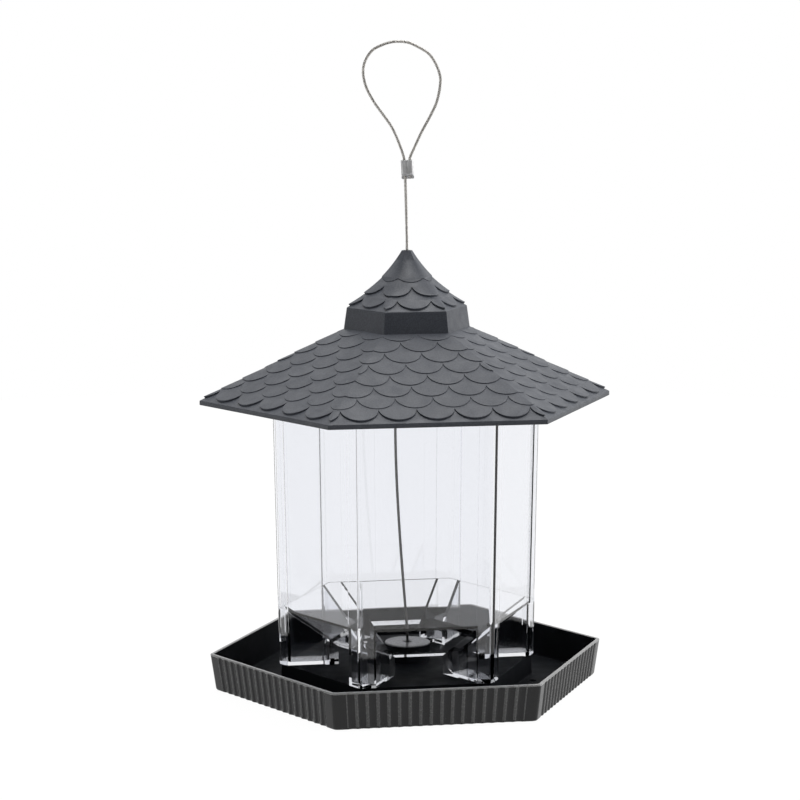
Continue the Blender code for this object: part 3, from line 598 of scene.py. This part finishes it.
def rope_route():
    """The rope's points as (sideways, height): up from the stop, through the hopper, the roof
    and the ferrule, round the loop and back into the ferrule."""
    stop_foot = BOSS_CEILING - SEAT_GAP - WASHER_THICKNESS - SEAT_GAP - STOP_HEIGHT
    live = [ferrule_point(0.0, 0.0), ferrule_point(0.0, FERRULE_HEIGHT)]
    dead = [ferrule_point(bore_spacing(), along) for along in (FERRULE_HEIGHT, DEAD_END_INSET)]
    return [(0.0, stop_foot), *ROPE_INSIDE, *live, *ROPE_LOOP, *dead]


def smooth_line(points, step_length):
    """Points at even steps along a smooth curve through the given ones, and its length."""
    dense = []
    padded = [points[0]] + points + [points[-1]]
    for before, start, end, after in zip(padded, padded[1:], padded[2:], padded[3:]):
        span = max((end - start).length, TINY)
        lead_in = (end - before) / max((start - before).length + span, TINY) * span
        lead_out = (after - start) / max((after - end).length + span, TINY) * span
        for step in range(CURVE_STEPS):
            u = step / CURVE_STEPS
            dense.append(start * (2 * u ** 3 - 3 * u ** 2 + 1)
                         + lead_in * (u ** 3 - 2 * u ** 2 + u)
                         + end * (3 * u ** 2 - 2 * u ** 3) + lead_out * (u ** 3 - u ** 2))
    dense.append(points[-1])
    lengths = [0.0]
    for start, end in zip(dense, dense[1:]):
        lengths.append(lengths[-1] + (end - start).length)
    count = ceil(lengths[-1] / step_length) + 1
    line = []
    at = 0
    for step in range(count):
        want = lengths[-1] * step / (count - 1)
        while at < len(lengths) - 2 and lengths[at + 1] < want:
            at += 1
        share = (want - lengths[at]) / max(lengths[at + 1] - lengths[at], TINY)
        line.append(dense[at].lerp(dense[at + 1], min(share, 1.0)))
    return line, lengths[-1]


def strand_lines(line):
    """The strands' centre lines: a helix for each outer one, then the core."""
    lines = [[] for _ in range(STRANDS)]
    across = Vector((0, 1, 0))
    travelled = 0.0
    for number, point in enumerate(line):
        ahead = (line[min(number + 1, len(line) - 1)] - line[max(number - 1, 0)]).normalized()
        across = (across - ahead * across.dot(ahead)).normalized()
        other = ahead.cross(across)
        if number:
            travelled += (point - line[number - 1]).length
        for strand_number, points in enumerate(lines):
            angle = 2 * pi * (strand_number / STRANDS + travelled / STRAND_LAY)
            outward = across * cos(angle) + other * sin(angle)
            points.append(point + outward * 2 * STRAND_RADIUS)
    return lines + [list(line)]


def build_rope(material):
    """The stranded rope, from the stop under the boss to its end in the ferrule."""
    route = [rope_frame() @ Vector((side, 0, height)) for side, height in rope_route()]
    line, length = smooth_line(route, STRAND_STEP)
    curve = bpy.data.curves.new("rope_strands", "CURVE")
    curve.dimensions = "3D"
    curve.bevel_depth = STRAND_RADIUS
    curve.bevel_resolution = 1
    curve.use_fill_caps = True
    for points in strand_lines(line):
        spline = curve.splines.new("POLY")
        spline.points.add(len(points) - 1)
        for knot, place in zip(spline.points, points):
            knot.co = (*place, 1.0)
    drawn = placed("rope_strands", curve)
    bpy.context.view_layer.update()
    bm = bmesh.new()
    bm.from_mesh(drawn.evaluated_get(bpy.context.evaluated_depsgraph_get()).to_mesh())
    bpy.data.objects.remove(drawn, do_unlink=True)
    bmesh.ops.remove_doubles(bm, verts=bm.verts, dist=MERGE)
    rope = piece("wire_rope", bm, "hanger", material, "steel_rope", "hanging_rope",
                 smooth=ROPE_SMOOTH_BELOW)


def build_ferrule(material):
    """The double-barrel sleeve: squeezed between its bores, with a slanting cut at its foot."""
    bore = WIRE_RADIUS + WIRE_CLEARANCE
    outer = bore + FERRULE_WALL
    middle = bore_spacing() / 2
    bm = bmesh.new()
    bmesh.ops.create_circle(bm, cap_ends=True, segments=FERRULE_SEGMENTS, radius=outer,
                            matrix=Matrix.Rotation(FERRULE_TURN, 4, "Z"))
    far = [v for v in bm.verts if v.co.x > 0]
    bmesh.ops.translate(bm, verts=far, vec=(bore_spacing(), 0, 0))
    bridge = [e for e in bm.edges if e.calc_length() > bore_spacing()]
    bmesh.ops.subdivide_edges(bm, edges=bridge, cuts=FERRULE_BRIDGE_CUTS)
    for level in range(FERRULE_LEVELS):
        top = [f for f in bm.faces if f.normal.z > FACING_UP] or bm.faces[:]
        grown = bmesh.ops.extrude_face_region(bm, geom=top if level else bm.faces[:])
        moved = [part for part in grown["geom"] if isinstance(part, bmesh.types.BMVert)]
        bmesh.ops.translate(bm, verts=moved, vec=(0, 0, FERRULE_HEIGHT / FERRULE_LEVELS))
        if level:
            bmesh.ops.delete(bm, geom=[f for f in top if f.is_valid], context="FACES_ONLY")
        bm.normal_update()
    for v in bm.verts:
        between = max(0.0, 1 - abs(v.co.x - middle) / (FERRULE_PINCH_REACH * outer))
        squeezed = sin(pi * min(1.0, max(0.0, v.co.z / FERRULE_HEIGHT)))
        v.co.y *= 1 - FERRULE_PINCH * between ** 2 - FERRULE_WAIST * squeezed
    bmesh.ops.recalc_face_normals(bm, faces=bm.faces)
    round_off(bm, sharp_edges(bm, FERRULE_SHARP), FERRULE_EDGE)
    bores = [cylinder(bore, -OVERCUT, FERRULE_HEIGHT + OVERCUT, BORE_SEGMENTS, (centre, 0))
             for centre in (0.0, bore_spacing())]
    slant = extruded([(0, *point) for point in FERRULE_SLANT], (4 * middle + 2 * outer, 0, 0))
    bmesh.ops.translate(slant, verts=slant.verts, vec=(-middle - outer, 0, 0))
    bm = carved(bm, slant, *bores)
    place = (rope_frame().to_4x4() @ Matrix.Translation((FERRULE_SIDE, 0, FERRULE_FOOT))
             @ Matrix.Rotation(-FERRULE_LEAN, 4, "Y"))
    bmesh.ops.transform(bm, matrix=place, verts=bm.verts)
    return piece("crimped_ferrule", bm, "hanger", material, "aluminium", "loop_ferrule")


# Tray

def level_of_tray(flat, height, flute, bend):
    """The tray's plan at one height: a hexagon with that distance from its middle to its
    flats, corners rounded by bend and hollow flutes cut into its sides, or a circle of that
    radius where bend equals flat."""
    straight = (flat - bend) * tan(HALF_SIDE)
    margin = FLUTE_MARGIN / apothem(TRAY_FOOT_CORNER) / tan(HALF_SIDE) / 2
    places = [(0.0, 0.0)]
    for number in range(FLUTES):
        for step in range(FLUTE_STEPS + 1):
            hollow = FLUTE_RIDGE + (1 - 2 * FLUTE_RIDGE) * step / FLUTE_STEPS
            share = (number + hollow) / FLUTES
            depth = flute * sin(pi * step / FLUTE_STEPS)
            places.append((margin + share * (1 - 2 * margin), depth))
    places.append((1.0, 0.0))
    half_arc = BOSS_ARC_SHARE * HALF_SIDE if bend >= flat else 0.0
    points = []
    for side in range(SIDES):
        turned = Matrix.Rotation(2 * HALF_SIDE * side + HALF_SIDE, 3, "Z")
        along = []
        for share, depth in places:
            arc = (2 * share - 1) * half_arc
            if half_arc:
                along.append((flat * cos(arc), flat * sin(arc)))
            else:
                along.append((flat - depth, (2 * share - 1) * straight))
        for step in range(1, CORNER_STEPS):
            angle = half_arc + 2 * (HALF_SIDE - half_arc) * step / CORNER_STEPS
            along.append((flat - bend + bend * cos(angle), straight + bend * sin(angle)))
        points += [turned @ Vector((x, y, height)) for x, y in along]
    return points


def skin(rows):
    """A closed skin: a grid that is bent onto rows of points, round and back to its start."""
    bm = bmesh.new()
    grid = bmesh.ops.create_grid(bm, x_segments=len(rows[0]), y_segments=len(rows), size=1)
    places = [place for row in rows + rows[:1] for place in row + row[:1]]
    for v, place in zip(grid["verts"], places):
        v.co = place
    bmesh.ops.remove_doubles(bm, verts=bm.verts, dist=MERGE)
    bmesh.ops.recalc_face_normals(bm, faces=bm.faces)
    return bm


def build_tray(inside_material, wall_material, rim_material, ridge_material):
    """One closed skin, lofted level by level: up the fluted wall, over the rim, across the
    floor, platform and boss, through the rope's hole and back along the underside."""
    foot = apothem(TRAY_FOOT_CORNER)
    rim = apothem(TRAY_RIM_CORNER)
    draft = (rim - foot) / TRAY_HEIGHT_RIM
    top = TRAY_HEIGHT_RIM
    inside = rim - TRAY_WALL
    basin = inside - draft * (top - TRAY_FLOOR)
    table = apothem(PLATFORM_CORNER)
    under = table - TRAY_WALL
    inner_bend = TRAY_CORNER_ROUND - TRAY_WALL / 2
    # Up the outside: distance to the flats, height and share of the flutes' depth
    wall = [(foot - 0.0010, 0.0, 0.6), (foot - 0.0004, 0.0002, 0.8), (foot - 0.0001, 0.0006, 1.0),
            (foot + draft * 0.0012, 0.0012, 1.0), (foot + draft * 0.009, 0.0090, 1.0),
            (foot + draft * (top - 0.0013), top - 0.0013, 1.0),
            (foot + draft * (top - 0.0009), top - 0.0009, 0.35),
            (rim, top - 0.0006, 0.0), (rim - 0.0001, top - 0.0002, 0.0)]
    levels = [(flat, height, share * FLUTE_DEPTH, TRAY_CORNER_ROUND)
              for flat, height, share in wall]
    # Over the rim, down to the floor and up the platform's side
    levels += [(flat, height, 0.0, inner_bend) for flat, height in (
        (rim - 0.0004, top), (inside + 0.0003, top), (inside, top - 0.0003),
        (basin, TRAY_FLOOR + 0.0010), (basin - 0.0003, TRAY_FLOOR + 0.0003),
        (basin - 0.0010, TRAY_FLOOR), (table + PLATFORM_DRAFT + 0.0006, TRAY_FLOOR),
        (table + PLATFORM_DRAFT + 0.0001, TRAY_FLOOR + 0.0003),
        (table + PLATFORM_DRAFT, TRAY_FLOOR + 0.0008), (table, PLATFORM_TOP - 0.0006),
        (table - 0.0002, PLATFORM_TOP - 0.0001), (table - 0.0007, PLATFORM_TOP))]
    # Up the boss, down through its hole and out under its top
    levels += [(radius, height, 0.0, radius) for radius, height in (
        (BOSS_RADIUS + 0.0008, PLATFORM_TOP), (BOSS_RADIUS + 0.0002, PLATFORM_TOP + 0.0002),
        (BOSS_RADIUS, PLATFORM_TOP + 0.0008), (BOSS_RADIUS, BOSS_TOP - 0.0006),
        (BOSS_RADIUS - 0.0002, BOSS_TOP - 0.0002), (BOSS_RADIUS - 0.0006, BOSS_TOP),
        (TRAY_WIRE_HOLE + 0.0003, BOSS_TOP), (TRAY_WIRE_HOLE, BOSS_TOP - 0.0003),
        (TRAY_WIRE_HOLE, BOSS_CEILING), (BOSS_RADIUS - BOSS_WALL, BOSS_CEILING),
        (BOSS_RADIUS - BOSS_WALL, PLATFORM_TOP - TRAY_FLOOR))]
    # Under the platform and down to the underside of the floor
    levels += [(flat, height, 0.0, inner_bend) for flat, height in (
        (under, PLATFORM_TOP - TRAY_FLOOR), (under + PLATFORM_DRAFT, 0.0003),
        (under + PLATFORM_DRAFT + 0.0003, 0.0))]
    bm = skin([level_of_tray(*level) for level in levels])
    drain_at = (table + DRAIN_GAP, DRAIN_SHIFT)
    drains = cylinder(DRAIN_RADIUS, -TRAY_FLOOR, 2 * TRAY_FLOOR, HOLE_SEGMENTS, drain_at)
    bm = carved(bm, repeat_round(turn(drains, HALF_SIDE)))
    tray = piece("seed_tray", bm, "tray", inside_material, "black_plastic", "tray")
    for material in (wall_material, rim_material, ridge_material):
        tray.data.materials.append(material)
    ridge_reach = foot * tan(HALF_SIDE) - FLUTE_MARGIN
    for polygon in tray.data.polygons:
        centre = polygon.center
        side = round((atan2(centre.y, centre.x) - HALF_SIDE) / (2 * HALF_SIDE))
        turned = Matrix.Rotation(-2 * HALF_SIDE * side - HALF_SIDE, 3, "Z") @ centre
        hollow = foot + draft * centre.z - turned.x
        outward = polygon.normal.dot(Vector((centre.x, centre.y, 0)).normalized())
        on_step = (PLATFORM_TOP - HIGHLIGHT_STEP_DEPTH < centre.z < PLATFORM_TOP - MERGE
                   and hollow < foot - table + HIGHLIGHT_STEP_REACH)
        on_ridge = (abs(hollow) < HIGHLIGHT_FLUTE_SHARE * FLUTE_DEPTH and centre.z > RIDGE_FOOT_Z
                    and abs(turned.y) < ridge_reach and polygon.normal.z < FACING_OUT)
        on_boss = (abs(centre.z - BOSS_TOP) < BOSS_TOP_ROUND
                   and hypot(centre.x, centre.y) < BOSS_RADIUS)
        # Painted highlight: the rim, the platform's top edge and the flute ridges take the pale
        # materials
        if centre.z > top - HIGHLIGHT_RIM_DEPTH or on_step:
            polygon.material_index = RIM
        elif on_ridge:
            polygon.material_index = RIDGES
        elif on_boss or turned.x > basin and outward > FACING_OUT:
            polygon.material_index = WALL
    return tray


# Hopper

def corner_edges(bm):
    """The long upright edges of the hopper's six corners, outside and in."""
    return [e for e in sharp_edges(bm, HOPPER_SHARP)
            if min(hypot(*v.co.xy) for v in e.verts) > CORNER_REACH
            and abs(e.verts[0].co.z - e.verts[1].co.z) > CORNER_HEIGHT]


def build_hopper(material):
    """The CAD moulding with every edge rounded, as the polished mould leaves it. The corners
    get wide rounds inside and out, the inner ones from just above the ramps up."""
    bm = bmesh.new()
    bm.from_mesh(frame["nodes"]["hopper"].data)
    bmesh.ops.remove_doubles(bm, verts=bm.verts, dist=2 * MERGE)
    bmesh.ops.dissolve_limit(bm, angle_limit=ALMOST_FLAT, verts=bm.verts, edges=bm.edges)
    outer = [e for e in corner_edges(bm) if e.is_convex]
    round_off(bm, outer, CORNER_ROUND, ROUND_SEGMENTS, clamp=False)
    inner = [e for e in corner_edges(bm) if not e.is_convex]
    beside = [f for f in bm.faces if any(e in inner for e in f.edges)]
    edges = [e for e in bm.edges if any(f in beside for f in e.link_faces)]
    verts = [v for v in bm.verts if any(e in edges for e in v.link_edges)]
    bmesh.ops.bisect_plane(bm, geom=verts + edges + beside, dist=MERGE,
                           plane_co=(0, 0, RAMP_TOP_Z), plane_no=(0, 0, 1))
    inner = [e for e in corner_edges(bm) if not e.is_convex]
    round_off(bm, inner, INNER_ROUND, ROUND_SEGMENTS, clamp=False)
    round_off(bm, sharp_edges(bm, HOPPER_SHARP), HOPPER_EDGE)
    return piece("clear_hopper", bm, "hopper", material, "clear_plastic", "hopper",
                 flat_width=HOPPER_FLAT_WIDTH)


# Roof

def cupola_arc():
    """The hollow flank's radius, half its angle and the slope of its chord; it sags below the
    chord."""
    run = NECK_TOP_APOTHEM - APEX_APOTHEM
    chord = hypot(run, CUPOLA_HEIGHT)
    radius = chord ** 2 / (8 * CUPOLA_SAG) + CUPOLA_SAG / 2
    return radius, asin(chord / 2 / radius), atan2(CUPOLA_HEIGHT, run)


def cupola_curve(length, lift=0.0):
    """A point (half width, height) that far up the cupola's flank, lifted square off it."""
    radius, half_angle, slope = cupola_arc()
    start = slope - half_angle
    angle = start + length / radius
    flat = NECK_TOP_APOTHEM - radius * (sin(angle) - sin(start)) + lift * sin(angle)
    return flat, NECK_TOP_Z + radius * (cos(start) - cos(angle)) + lift * cos(angle)


def cupola_length():
    """How long the cupola's flank is, along its arc."""
    radius, half_angle, _ = cupola_arc()
    return 2 * radius * half_angle


def roof_point(length, lift):
    """A point (half width, height) that far up the main slope and lifted square off it."""
    flat = EAVE_APOTHEM - length * cos(ROOF_SLOPE) + lift * sin(ROOF_SLOPE)
    return flat, FASCIA_TOP_Z + length * sin(ROOF_SLOPE) + lift * cos(ROOF_SLOPE)


def roof_underside(flat):
    """The height of the slope's underside at a half width."""
    top = FASCIA_TOP_Z + (EAVE_APOTHEM - flat) * tan(ROOF_SLOPE)
    return top - ROOF_WALL / cos(ROOF_SLOPE)


def roof_shell():
    """The moulding without its shingles: eave, slope, neck, cupola and the skirt inside."""
    flank = cupola_length()
    steps = [flank * step / CUPOLA_STEPS for step in range(CUPOLA_STEPS + 1)]
    ceiling = APEX_Z - APEX_THICKNESS
    inner = [cupola_curve(step, -ROOF_WALL) for step in steps[1:]]
    inner = [point for point in inner if point[1] < ceiling - ROOF_WALL / 2]
    neck_inside = NECK_TOP_APOTHEM - ROOF_WALL
    foot_inside = NECK_FOOT_APOTHEM - ROOF_WALL
    skirt_inside = SKIRT_APOTHEM - SKIRT_WALL
    skirt_foot = HOPPER_TOP_Z - SKIRT_DEPTH
    eave_inside = EAVE_APOTHEM - ROOF_WALL
    pilot = APEX_HOLE * PILOT_SHARE
    section = [(EAVE_APOTHEM, EAVE_Z), (EAVE_APOTHEM, FASCIA_TOP_Z),
               (NECK_FOOT_APOTHEM, NECK_FOOT_Z)]
    section += [cupola_curve(step) for step in steps]
    section += [(pilot, APEX_Z), (pilot, ceiling), (inner[-1][0] * PILOT_SHARE, ceiling)]
    section += inner[::-1]
    section += [(neck_inside, NECK_TOP_Z - ROOF_WALL / 2),
                (foot_inside, roof_underside(foot_inside)),
                (skirt_inside, roof_underside(skirt_inside)), (skirt_inside, skirt_foot),
                (SKIRT_APOTHEM, skirt_foot), (SKIRT_APOTHEM, roof_underside(SKIRT_APOTHEM)),
                (eave_inside, roof_underside(eave_inside)), (eave_inside, EAVE_Z)]
    bm = spun_ring([(corner(flat), height) for flat, height in section], SIDES)
    round_off(bm, sharp_edges(bm, ROOF_SHARP), ROOF_EDGE)
    bore = cylinder(APEX_HOLE, ceiling - APEX_THICKNESS, APEX_Z + APEX_THICKNESS,
                    HOLE_SEGMENTS)
    return carved(bm, bore)


def scallops(width, drop, reach, shifted):
    """The lower edge of a course of round shingles, from left to right: arcs side by side,
    with a shingle in the middle, or a cusp there if the course is shifted."""
    radius = (width ** 2 / 4 + drop ** 2) / (2 * drop)
    spread = asin(width / 2 / radius)
    count = 2 * ceil(reach / width) + (0 if shifted else 1)
    points = []
    for shingle in range(count):
        centre = (shingle - (count - 1) / 2) * width
        last = shingle == count - 1
        for step in range(SHINGLE_STEPS + (1 if last else 0)):
            angle = spread * (2 * step / SHINGLE_STEPS - 1)
            points.append((centre + radius * sin(angle), radius * (1 - cos(angle))))
    return points


def course(start, length, lift, width, drop, reach, shifted, place, tuck, bend_step=None):
    """One course of shingles all round the roof: cut out flat, rounded at its lower edge, laid
    on the slope that place describes, and mitred at the hips. It is lifted at its lower edge
    and tucked close to the slope at its upper one."""
    edge = scallops(width, drop, reach, shifted)
    outline = edge + [(edge[-1][0], length), (edge[0][0], length)]
    bm = extruded([(across, along, 0.0) for across, along in outline], (0, 0, -lift - 2 * tuck))
    # The lip is made of the arcs' short edges on the upper face
    lip = [e for e in bm.edges if e.calc_length() < width / 4
           and all(abs(v.co.z) < MERGE and v.co.y < drop + MERGE for v in e.verts)]
    round_off(bm, lip, SHINGLE_EDGE)
    levels = int(length / bend_step) if bend_step else 0
    for level in range(1, levels + 1):
        bmesh.ops.bisect_plane(bm, geom=everything(bm), dist=MERGE,
                               plane_co=(0, level * bend_step, 0), plane_no=(0, 1, 0))
    for v in bm.verts:
        above = lift - (lift - tuck) * v.co.y / length + v.co.z
        flat, height = place(start + v.co.y, above)
        v.co = (flat, v.co.x, height)
    for side in (1, -1):
        hip = (-sin(HALF_SIDE), side * cos(HALF_SIDE), 0)
        bmesh.ops.bisect_plane(bm, geom=everything(bm), dist=MERGE / 10, plane_co=(0, 0, 0),
                               plane_no=hip, clear_outer=True)
    repeat_round(turn(bm, HALF_SIDE))
    bmesh.ops.remove_doubles(bm, verts=bm.verts, dist=5 * MERGE)
    bmesh.ops.recalc_face_normals(bm, faces=bm.faces)
    return bm


def build_roof(material):
    """The roof's shell with its courses of shingles. The last course on the slope ends in the
    neck, so its arcs are less deep."""
    reach = EAVE_APOTHEM * tan(HALF_SIDE)
    seen = COURSE_PITCH + SHINGLE_DROP
    rows = int((ROOF_SLOPE_LENGTH - COURSE_START - COURSE_PITCH / 2) / COURSE_PITCH) + 1
    courses = []
    for row in range(rows):
        start = COURSE_START + row * COURSE_PITCH
        length = min(seen, ROOF_SLOPE_LENGTH + ROOF_WALL / 2 - start)
        lift = SHINGLE_LIFT if row else EAVE_SHINGLE_LIFT
        drop = min(SHINGLE_DROP, length - CUSP_MARGIN)
        half_width = reach * (1 - start / (2 * ROOF_SLOPE_LENGTH))
        courses.append(course(start, length, lift, SHINGLE_WIDTH, drop, half_width,
                              row % 2 == 1, roof_point, SHINGLE_TUCK))
    for row, lift in enumerate(CUPOLA_LIFTS):
        start = CUPOLA_COURSE_START + row * CUPOLA_COURSE_PITCH
        last = row == len(CUPOLA_LIFTS) - 1
        length = cupola_length() - start if last else CUPOLA_COURSE_PITCH + CUPOLA_SHINGLE_DROP
        courses.append(course(start, length, lift, CUPOLA_SHINGLE_WIDTH, CUPOLA_SHINGLE_DROP,
                              NECK_TOP_APOTHEM * tan(HALF_SIDE), row % 2 == 1, cupola_curve,
                              CUPOLA_TUCK, CUPOLA_BEND_STEP))
    bm = joined(roof_shell(), *courses)
    return piece("shingled_roof", bm, "roof", material, "slate_plastic", "roof")


# Studio

def white_for(tree, *rays):
    """A socket that is 1 for the named kinds of ray and 0 for the others."""
    path = tree.nodes.new("ShaderNodeLightPath")
    total = path.outputs[rays[0]]
    for ray in rays[1:]:
        higher = tree.nodes.new("ShaderNodeMath")
        higher.operation = "MAXIMUM"
        tree.links.new(total, higher.inputs[0])
        tree.links.new(path.outputs[ray], higher.inputs[1])
        total = higher.outputs[0]
    return total


def build_world():
    """A white backdrop behind, above and to the right of the object, which fades to a dim room
    towards the camera's left."""
    world = bpy.data.worlds.new("studio")
    bpy.context.scene.world = world
    world.use_nodes = True
    tree = world.node_tree
    background = tree.nodes["Background"]
    place = tree.nodes.new("ShaderNodeTexCoord")
    towards = tree.nodes.new("ShaderNodeVectorMath")
    towards.operation = "DOT_PRODUCT"
    towards.inputs[1].default_value = BRIGHT_SIDE
    tree.links.new(place.outputs["Generated"], towards.inputs[0])
    fade = tree.nodes.new("ShaderNodeMapRange")
    fade.inputs["From Min"].default_value = FADE_START
    fade.inputs["From Max"].default_value = FADE_END
    fade.inputs["To Min"].default_value = ROOM_DARKEST
    fade.inputs["To Max"].default_value = 1.0
    tree.links.new(towards.outputs["Value"], fade.inputs["Value"])
    mix = tree.nodes.new("ShaderNodeMix")
    mix.data_type = "RGBA"
    mix.inputs[7].default_value = (1.0, 1.0, 1.0, 1.0)
    path = tree.nodes.new("ShaderNodeLightPath")
    glass = tree.nodes.new("ShaderNodeMath")
    glass.operation = "MULTIPLY_ADD"
    glass.inputs[1].default_value = GLASS_LIGHT
    tree.links.new(path.outputs["Is Transmission Ray"], glass.inputs[0])
    tree.links.new(path.outputs["Is Camera Ray"], glass.inputs[2])
    tree.links.new(glass.outputs[0], mix.inputs[0])
    tree.links.new(fade.outputs["Result"], mix.inputs[6])
    tree.links.new(mix.outputs[2], background.inputs["Color"])


def build_floor():
    """A pale floor that takes the shadow and glows white to the camera and in the glass."""
    bm = bmesh.new()
    bmesh.ops.create_circle(bm, cap_ends=True, segments=FLOOR_SEGMENTS,
                            radius=FLOOR_RADIUS,
                            matrix=Matrix.Translation((0, 0, -FLOOR_GAP)))
    floor = placed("floor", mesh_of(bm, "floor"))
    material = bpy.data.materials.new("pale_floor")
    material.use_nodes = True
    tree = material.node_tree
    shader = tree.nodes["Principled BSDF"]
    shader.inputs["Base Color"].default_value = (FLOOR_GREY, FLOOR_GREY, FLOOR_GREY, 1.0)
    shader.inputs["Roughness"].default_value = 1.0
    shader.inputs["Specular IOR Level"].default_value = 0.0
    glow = tree.nodes.new("ShaderNodeEmission")
    glow.inputs["Strength"].default_value = FLOOR_GLOW
    share = tree.nodes.new("ShaderNodeMath")
    share.operation = "MULTIPLY"
    share.inputs[1].default_value = FLOOR_GLOW_SHARE
    tree.links.new(white_for(tree, "Is Camera Ray", "Is Transmission Ray", "Is Glossy Ray"),
                   share.inputs[0])
    mix = tree.nodes.new("ShaderNodeMixShader")
    tree.links.new(share.outputs[0], mix.inputs[0])
    tree.links.new(shader.outputs[0], mix.inputs[1])
    tree.links.new(glow.outputs[0], mix.inputs[2])
    tree.links.new(mix.outputs[0], tree.nodes["Material Output"].inputs["Surface"])
    floor.data.materials.append(material)


def softbox(name, place, width, height, brightness):
    """A rectangular lamp whose face is that bright, hidden from the camera and in the glass."""
    lamp = bpy.data.lights.new(name, "AREA")
    lamp.shape = "RECTANGLE"
    lamp.size = width
    lamp.size_y = height
    lamp.energy = brightness * pi * width * height
    item = placed(name, lamp)
    item.location = place
    towards = Vector(LAMPS_AIM) - Vector(place)
    item.rotation_euler = towards.to_track_quat("-Z", "Y").to_euler()
    item.visible_camera = False
    item.visible_transmission = False


def build_camera():
    """The camera that was fitted to the photograph."""
    camera = bpy.data.cameras.new("camera")
    camera.lens = CAMERA_LENS
    camera.clip_end = CAMERA_REACH
    item = placed("camera", camera)
    item.matrix_world = (Matrix.Translation(CAMERA_PLACE) @ Matrix.Rotation(-CAMERA_YAW, 4, "Z")
                         @ Matrix.Rotation(pi / 2 - CAMERA_PITCH, 4, "X")
                         @ Matrix.Rotation(CAMERA_ROLL, 4, "Z"))
    bpy.context.scene.camera = item


def main():
    bpy.context.scene.view_settings.view_transform = "Standard"
    build_camera()
    build_world()
    build_floor()
    for lamp in LAMPS:
        softbox(*lamp)
    nodes = frame["nodes"]
    bright = soft_metal("crimped_aluminium", tone=0.88, metallic=0.30)
    dull = soft_metal("zinc_plated_steel", tone=0.6, metallic=0.9)
    ferrule = build_ferrule(bright)
    build_rope(steel_rope())
    nodes["stop_sleeve"].material_slots[0].material = bright
    nodes["stop_washer"].material_slots[0].material = dull
    # Painted highlights on the rim, the platform's edges and the ridges between the flutes
    rim = highlight_plastic("painted_highlight_rim", tone=0.36, smoothest=0.04, roughest=0.12)
    ridges = highlight_plastic("painted_highlight_ridges", tone=0.10, smoothest=0.16, roughest=0.32)
    build_tray(black_plastic(), fluted_plastic(), rim, ridges)
    build_hopper(clear_plastic())
    build_roof(slate_plastic())


main()
